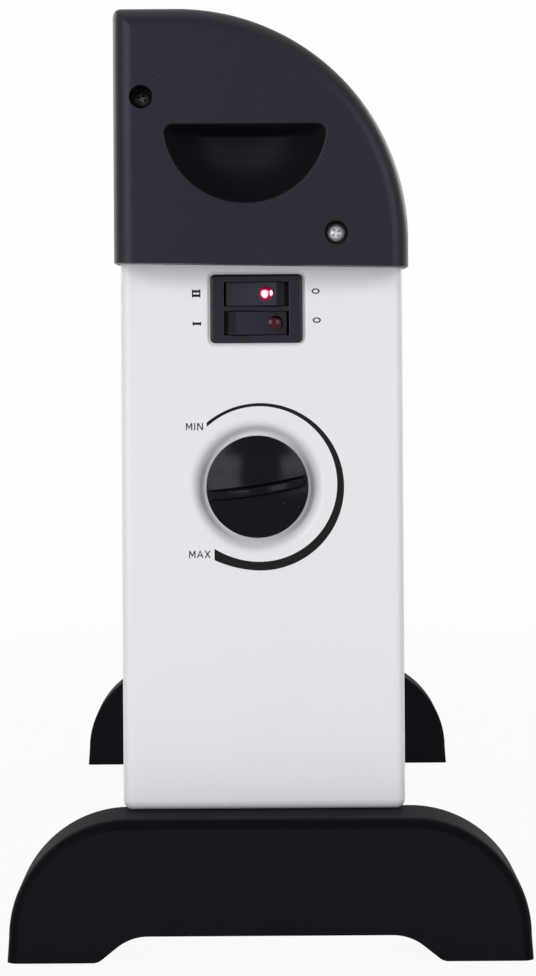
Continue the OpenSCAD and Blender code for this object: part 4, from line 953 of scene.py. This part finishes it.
def hollow_parts():
    """End views of the spaces in the hollow foot, between its ribs."""
    reach = FOOT_R - FOOT_WALL
    end = FOOT_FLAT + reach
    half_rib = 1
    steps = 24

    def roof(y):
        past = max(abs(y) - FOOT_FLAT, 0)
        return FOOT_H - FOOT_R + math.sqrt(max(reach ** 2 - past ** 2, 0))

    stops = [-end] + [rib + s * half_rib for rib in FOOT_RIBS for s in (-1, 1)] + [end]
    parts = []
    for a, b in zip(stops[::2], stops[1::2]):
        along = [b + (a - b) * k / steps for k in range(steps + 1)]
        parts.append([(a, -1.0), (b, -1.0)] + [(y, roof(y)) for y in along])
    return parts


def foot(name, mirror):
    shell = Shell(mirror)
    rows = []
    for inward, down in rounding(BACK_ROUND, 3):
        rows.append(at_x(foot_outline(down), -FOOT_X + FOOT_T - inward))
    for inward, down in rounding(FOOT_ROUND, 10):
        rows.append(at_x(foot_outline(inward), -FOOT_X + down))
    shell.solid(rows)
    tools = [prism(mirror, foot_arch(), -FOOT_X - 2, -FOOT_X + FOOT_T + 2)]
    for part in hollow_parts():
        tools.append(prism(mirror, part, -FOOT_X + FOOT_WALL, -FOOT_X + FOOT_T - FOOT_WALL))
    piece = shell.make(name, "foot_plastic", SQUARE, cutters=tools)
    # The front rounding gets a much darker copy of the foot's plastic: a painted dark band of shade
    piece.data.materials.append(MATERIALS["foot_edge_painted_shade"])
    for face in piece.data.polygons:
        if SHADE_BAND[0] < FOOT_X - abs(face.center.x / MM) < SHADE_BAND[1]:
            face.material_index = 1
    ends = []
    for x, less in (
        (-FOOT_X + FOOT_T - BACK_ROUND, 0.0),
        (-FOOT_END - TONGUE_EASE, 0.0),
        (-FOOT_END, TONGUE_EASE),
    ):
        w, h = 2 * TONGUE_HALF - less, TONGUE_T - less
        ends.append(at_x(rounded_box((YF + YB) / 2, FOOT_H - TONGUE_T / 2, w, h, 0.3, 3), x))
    Shell(mirror).solid(ends).make(name + "_tongue", "foot_plastic", SQUARE)
    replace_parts(piece, "plain_end_foot" if mirror else "control_end_foot")


foot("control_end_foot_fine", False)
foot("plain_end_foot_fine", True)


# Knob

KNOB_R = 21.0
KNOB_FRONT, KNOB_BACK = span_of("thermostat_knob", 0)
KNOB_H = KNOB_BACK - KNOB_FRONT
DOME_R = 27.0
FACE_R = 50.0
# The blade: half its width, its edges' rounding, the sweep up to it, its angle off level, and
# how far below the knob's middle it lies
BLADE_HALF = 1.45
EDGE_DROP = 0.3
SWEEP = 1.2
BLADE_ANGLE = 8.6
BLADE_DROP = 1.3
KNOB_EDGE = KNOB_H - DOME_R + math.sqrt(DOME_R ** 2 - KNOB_R ** 2) - 0.4
FACE_MID = KNOB_EDGE - math.sqrt(FACE_R ** 2 - KNOB_R ** 2)
BLADE_FOOT = BLADE_HALF + SWEEP
# The pointer's groove in the blade's top
GROOVE_START, GROOVE_END = 11.8, 19.6
GROOVE_HALF = 0.95
GROOVE_DEPTH = 0.45
# Steps across the sweep beside the blade, as shares of it, and across half of the blade's top
SWEEP_SHARES = (0.9, 0.8, 0.7, 0.6, 0.5, 0.41, 0.33, 0.25, 0.18, 0.12, 0.07, 0.03, 0)
BLADE_STEPS = (BLADE_HALF, 1.38, 1.3, 1.2, 1.1, 0.96, 0.94, 0.0)
# Shares of the knob's outline at its back edge and round the hole in its back
BACK_SHARE = 0.986
HOLE_SHARE = 0.48
HOLE_DEPTH = 4.1


def dome_height(u, v):
    return KNOB_H - DOME_R + math.sqrt(max(DOME_R ** 2 - u * u - v * v, 0))


def face_height(u, v):
    """The knob beside its blade: a gentle dome that sweeps up to the blade's edge."""
    height = FACE_MID + math.sqrt(max(FACE_R ** 2 - u * u - v * v, 0))
    top = dome_height(u, BLADE_HALF) - EDGE_DROP
    share = (abs(v) - BLADE_HALF) / SWEEP
    if share < 1:
        height += max(top - height, 0) * (1 - max(share, 0)) ** 2.4
    return min(height, dome_height(u, v))


def blade_top(u, v):
    """The blade's top, with the pointer's groove near one end."""
    soft = 0.4
    height = dome_height(u, v) - EDGE_DROP * max((abs(v) - BLADE_HALF + soft) / soft, 0) ** 2
    if GROOVE_START <= u <= GROOVE_END and abs(v) < GROOVE_HALF:
        height -= GROOVE_DEPTH
    return height


def knob_row(u):
    """Height of the knob across its blade, from one side to the other, at u along the blade."""
    limit = math.sqrt(KNOB_R ** 2 - u * u)
    steps = 14
    least = limit if limit < BLADE_FOOT else 0
    wing = [max(BLADE_FOOT + (limit - BLADE_FOOT) * k / steps, least) for k in range(steps, -1, -1)]
    wing += [BLADE_HALF + SWEEP * share for share in SWEEP_SHARES]
    row = [(v, face_height(u, v)) for v in (min(v, limit) for v in wing)]
    row += [(v, blade_top(u, v)) for v in (min(v, limit) for v in BLADE_STEPS)]
    return row + [(-v, h) for v, h in row[-2::-1]]


def knob():
    shell = Shell()
    turn = math.radians(BLADE_ANGLE)

    def place(u, v, h):
        y = -(u * math.cos(turn) - v * math.sin(turn))
        z = u * math.sin(turn) + v * math.cos(turn)
        drop = BLADE_DROP * math.sqrt(max(1 - (u * u + v * v) / KNOB_R ** 2, 0))
        return (KNOB_BACK - h, KNOB_Y + y, KNOB_Z + z - drop)

    steps = 110
    near = 0.01
    stops = [KNOB_R * math.sin(math.radians(-90 + 180 * k / steps)) for k in range(1, steps)]
    stops += [end + side * near for end in (GROOVE_START, GROOVE_END) for side in (-1, 1)]
    rows = [[place(u, v, h) for v, h in knob_row(u)] for u in sorted(stops)]
    indices = shell.rings(rows, closed=False)
    last = free_ends(indices)
    points = [shell.points[i] for i in last]
    for x, share in (
        (KNOB_BACK - 0.3, 1.0), (KNOB_BACK, BACK_SHARE), (KNOB_BACK, HOLE_SHARE),
        (KNOB_BACK - HOLE_DEPTH, HOLE_SHARE),
    ):
        ring = shell.ring([
            (x, KNOB_Y + (y - KNOB_Y) * share, KNOB_Z + (z - KNOB_Z) * share) for _, y, z in points
        ])
        shell.join(last, ring)
        last = ring
    shell.flat(last)
    piece = shell.make("thermostat_knob_fine", "knob_plastic", 50.0, body="knob")
    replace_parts(piece, "thermostat_knob")


knob()


# Switch housing

# How deep the bezel is, how round its edge is, and its corner
BEZEL_T = 2.2
BEZEL_ROUND = 1.1
BEZEL_CORNER = 2.0
# Extra size, corner and depth of each ring down through a window in the bezel
WINDOW_RINGS = (
    (0.5, 0.5, 0.5, 0.0), (0.1, 0.1, 0.3, 0.1), (0.0, 0.0, 0.3, 0.35),
    (0.0, 0.0, 0.3, 2.2), (3.2, 0.0, 0.3, 2.3), (3.2, 0.0, 0.3, 21.0),
)


def switch_housing():
    shell = Shell()
    w, h = BEZEL_W, BEZEL_H
    back = BEZEL_X + BEZEL_T
    rows = [
        on_switch(w - 5, h - 5, 1, back),
        on_switch(w - 0.4, h - 0.4, BEZEL_CORNER - 0.1, back),
        on_switch(w, h, BEZEL_CORNER, back - 0.2),
    ]
    for g, down in rounding(BEZEL_ROUND, 8):
        rows.append(on_switch(w - 2 * g, h - 2 * g, BEZEL_CORNER - g, BEZEL_X + down))
    border = shell.rings(rows)[-1]
    windows = []
    for z in (HIGH_Z, LOW_Z):
        rows = []
        for wider, higher, r, depth in WINDOW_RINGS:
            outline = rounded_box(SWITCH_Y, z, WINDOW_W + wider, WINDOW_H + higher, r, 3)
            rows.append(at_x(outline, BEZEL_X + depth))
        windows.append(shell.rings(rows))
    shell.flat(border, [window[0] for window in windows])
    for window in windows:
        shell.flat(window[-1])
    w, h = WINDOW_W + 6.4, 2 * WINDOW_H + 4.4
    end = span_of("switch_housing", 0)[1]
    body = shell.rings([
        on_switch(w, h, 0.5, back),
        on_switch(w, h, 0.5, end - 0.3),
        on_switch(w - 0.6, h - 0.6, 0.4, end),
    ])
    shell.flat(body[-1])
    piece = shell.make("switch_housing_fine", "switch_plastic", 32.0)
    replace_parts(piece, "switch_housing")


switch_housing()


# Printed marks on the control end

PRINT_X = -XE - 0.03
PRINT_FOOT = -XE + 0.01


def print_patch(name, outline, holes=()):
    """A thin raised patch of ink, from outlines of across and up."""
    shell = Shell()
    border = shell.ring(at_x(outline, PRINT_X))
    gaps = [shell.ring(at_x(hole, PRINT_X)) for hole in holes]
    for loop in [border] + gaps:
        low = shell.ring([(PRINT_FOOT, *shell.points[i][1:]) for i in loop])
        shell.join(loop, low)
    shell.flat(border, gaps)
    shell.make(name, "print_ink", SQUARE)


def dial_edge(across, up, r, start, end, flare):
    """One edge of the arc, which flares out over its last part."""
    points = []
    steps = 120
    flare_start, flare_span = 95, 29
    for i in range(steps + 1):
        a = start + (end - start) * i / steps
        grown = r + flare * (max(-a - flare_start, 0) / flare_span) ** 2
        y = KNOB_Y - across - grown * math.cos(math.radians(a))
        points.append((y, KNOB_Z + up + grown * math.sin(math.radians(a))))
    return points


def dial_arc():
    outer = dial_edge(1.2, 0.0, 34.4, 129.5, -122.3, 1.3)
    inner = dial_edge(0.85, 1.15, 31.95, 132.4, -125.2, 0.4)
    print_patch("dial_arc", outer + inner[::-1])


def stroke(path, width):
    """Outline of a line of even width through the points of a path."""
    left, right = [], []
    for i, (y, z) in enumerate(path):
        before = path[max(i - 1, 0)]
        after = path[min(i + 1, len(path) - 1)]
        first = Vector((y - before[0], z - before[1]))
        second = Vector((after[0] - y, after[1] - z))
        first = first.normalized() if first.length else second.normalized()
        second = second.normalized() if second.length else first
        along = (first + second).normalized()
        reach = width / 2 / max(along.dot(first), 0.5)
        side = Vector((-along.y, along.x)) * reach
        left.append((y + side.x, z + side.y))
        right.append((y - side.x, z - side.y))
    return left + right[::-1]


# Width and strokes of the capitals in a box one unit high
LETTERS = {
    "M": (0.86, [
        [(0.07, 0), (0.07, 1)], [(0.07, 0.97), (0.43, 0.3), (0.79, 0.97)], [(0.79, 0), (0.79, 1)],
    ]),
    "I": (0.2, [[(0.1, 0), (0.1, 1)]]),
    "N": (0.78, [[(0.07, 0), (0.07, 1)], [(0.1, 0.97), (0.68, 0.03)], [(0.71, 0), (0.71, 1)]]),
    "A": (0.8, [[(0.03, 0), (0.4, 0.98), (0.77, 0)], [(0.17, 0.33), (0.63, 0.33)]]),
    "X": (0.76, [[(0.05, 0), (0.71, 1)], [(0.05, 1), (0.71, 0)]]),
}
STROKE = 0.15
LETTER_GAP = 0.24


def write(name, word, y, z, height):
    """A word whose left lower corner is at y and z, read from outside the control end."""
    across = 0.0
    for k, letter in enumerate(word):
        width, strokes = LETTERS[letter]
        for n, path in enumerate(strokes):
            placed = [(y - (across + u) * height, z + v * height) for u, v in path]
            print_patch(f"{name}_{k}_{n}", stroke(placed, STROKE * height))
        across += width + LETTER_GAP


def print_box(name, y0, y1, z0, z1):
    print_patch(name, [(y0, z0), (y1, z0), (y1, z1), (y0, z1)])


def bar_mark(name, y, z, bars):
    """The numeral one or two turned on its side: thin bars between two serifs."""
    half = 1.75
    pitch = 1.75
    line = 0.5
    for k in range(bars):
        middle = z + (k - (bars - 1) / 2) * pitch
        print_box(f"{name}_bar_{k}", y - half, y + half, middle - line, middle + line)
    reach = 0.75 + (bars - 1) * pitch / 2
    for k, s in enumerate((-1, 1)):
        inner, outer = y + s * (half - line), y + s * half
        print_box(f"{name}_serif_{k}", inner, outer, z - reach, z + reach)


def zero_mark(name, y, z):
    """The numeral nought turned on its side, thicker where its curve is flat."""
    def oval(a, b):
        turns = [math.radians(t) for t in range(0, 360, 6)]
        return [(y + a * math.cos(t), z + b * math.sin(t)) for t in turns]

    print_patch(name, oval(1.68, 1.13), [oval(1.05, 0.66)])


dial_arc()
write("min_mark", "MIN", KNOB_Y + 29.2, KNOB_Z + 23.4, 3.0)
write("max_mark", "MAX", KNOB_Y + 28.2, KNOB_Z - 29.1, 3.0)
bar_mark("two_mark", SWITCH_Y + 24.7, HIGH_Z + 0.4, 2)
bar_mark("one_mark", SWITCH_Y + 24.5, LOW_Z - 0.1, 1)
zero_mark("off_mark_high", SWITCH_Y - 24.4, HIGH_Z + 1.1)
zero_mark("off_mark_low", SWITCH_Y - 24.8, LOW_Z + 1.1)


# Nodes of the frame shown as they are

# How far their edges are rounded
BEVELS = {
    "front_panel": 0.15, "rear_panel": 0.15, "base_tray": 0.15,
    "rocker_high": 0.25, "rocker_low": 0.25, "panel_screws": 0.12, "foot_screws": 0.12,
    "cord_gland": 0.3, "gland_nut": 0.3, "terminal_block": 0.3, "thermostat_body": 0.3,
}
replaced = {n for o in bpy.data.objects for n in o.get("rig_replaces", [])}
for name, node in NODES.items():
    if name not in replaced:
        tidy_node(node, BEVELS.get(name))


# Studio

def stage_plane(name, corners, material):
    mesh = bpy.data.meshes.new(name)
    mesh.from_pydata(corners, [], [(0, 1, 2, 3)])
    mesh.materials.append(material)
    plane = bpy.data.objects.new(name, mesh)
    SCENE.collection.objects.link(plane)


def shown_rays(tree):
    """One for the rays that show the background: camera, glossy and transmitted ones."""
    path = tree.nodes.new("ShaderNodeLightPath")
    total = path.outputs["Is Camera Ray"]
    for kind in ("Is Glossy Ray", "Is Transmission Ray"):
        more = tree.nodes.new("ShaderNodeMath")
        more.operation = "MAXIMUM"
        tree.links.new(total, more.inputs[0])
        tree.links.new(path.outputs[kind], more.inputs[1])
        total = more.outputs["Value"]
    return more


# How far from the middle the floor's glow starts and ends to change, and its share there
GLOW_START, GLOW_END = 0.94, 1.0
NEAR_GLOW, FAR_GLOW = 0.45, 1.6


def floor_material():
    """Pale floor that glows evenly to the camera, and more so away from the object."""
    look = Look("studio_floor")
    grain = look.noise(30.0, 2.0)
    colour = look.tint(grain, (0.74, 0.74, 0.74), (0.77, 0.77, 0.77))
    diffuse = look.add("ShaderNodeBsdfDiffuse", {"Color": (colour, "Color")})
    emission = look.add("ShaderNodeEmission", {"Color": (0.99, 0.99, 0.99, 1.0)})
    seen = shown_rays(look.tree)
    reach = look.vectors("LENGTH", (look.place(), "Object"))
    share = look.span((reach, "Value"), GLOW_START, GLOW_END, NEAR_GLOW, FAR_GLOW)
    fac = look.numbers("MULTIPLY", (seen, "Value"), (share, "Result"))
    mix = look.add("ShaderNodeMixShader", {
        0: (fac, "Value"), 1: (diffuse, "BSDF"), 2: (emission, "Emission"),
    })
    return look.finish(mix, "Shader")


half = 5
corners = [(-half, -half, 0), (half, -half, 0), (half, half, 0), (-half, half, 0)]
stage_plane("floor", corners, floor_material())


def area_light(name, place, target, size, power, colour):
    data = bpy.data.lights.new(name, "AREA")
    data.shape = "RECTANGLE"
    data.size, data.size_y = size
    data.energy = power
    data.color = colour
    lamp = bpy.data.objects.new(name, data)
    lamp.location = place
    aim = Vector(target) - Vector(place)
    lamp.rotation_euler = aim.to_track_quat("-Z", "Y").to_euler()
    SCENE.collection.objects.link(lamp)


NEUTRAL = (1, 1, 1)
WARM = (1.0, 0.985, 1.0)
COOL = (0.97, 0.97, 1.0)
# Name, place, target, size, power and colour of each lamp
LAMPS = [
    ("left_box", (-2.0, 1.20, 0.30), (-0.27, 0, 0.28), (1.35, 0.60), 12, WARM),
    ("left_top_box", (-2.0, 1.20, 0.96), (-0.27, 0, 0.30), (1.35, 0.62), 13, WARM),
    ("right_box", (-2.0, -1.37, 0.30), (-0.27, 0, 0.28), (1.15, 0.60), 6.8, COOL),
    ("right_top_box", (-2.0, -1.37, 0.96), (-0.27, 0, 0.30), (1.15, 0.62), 10.4, COOL),
    ("top_box", (-0.4, 0.0, 2.2), (0, 0, 0.2), (2.0, 1.6), 7, NEUTRAL),
    ("front_box", (1.8, -2.2, 1.1), (0, 0, 0.2), (1.8, 1.3), 38, NEUTRAL),
    ("back_box", (1.8, 2.2, 1.1), (0, 0, 0.2), (1.8, 1.3), 31, NEUTRAL),
]
for lamp in LAMPS:
    area_light(*lamp)

world = bpy.data.worlds.new("studio_world")
world.use_nodes = True
tree = world.node_tree
sky = tree.nodes["Background"]
sky.inputs["Color"].default_value = (0.99, 0.99, 0.99, 1)
seen = shown_rays(tree)
level = tree.nodes.new("ShaderNodeMapRange")
level.inputs["To Min"].default_value = 0.10
level.inputs["To Max"].default_value = 1.0
tree.links.new(seen.outputs["Value"], level.inputs["Value"])
tree.links.new(level.outputs["Result"], sky.inputs["Strength"])
SCENE.world = world


# Camera

optics = bpy.data.cameras.new("photo_view")
optics.sensor_width = 36
optics.lens = 104.24
optics.shift_x = 0.0077
optics.shift_y = -0.1435
optics.clip_end = 20
camera = bpy.data.objects.new("photo_view", optics)
facing = Matrix.Rotation(math.radians(-90), 4, "Z") @ Matrix.Rotation(math.radians(90), 4, "X")
roll = Matrix.Rotation(math.radians(-0.35), 4, "Z")
camera.matrix_world = Matrix.Translation((-1.426, 0.0026, 0.247)) @ facing @ roll
SCENE.collection.objects.link(camera)
SCENE.camera = camera
bpy.context.scene.view_settings.view_transform = "Standard"
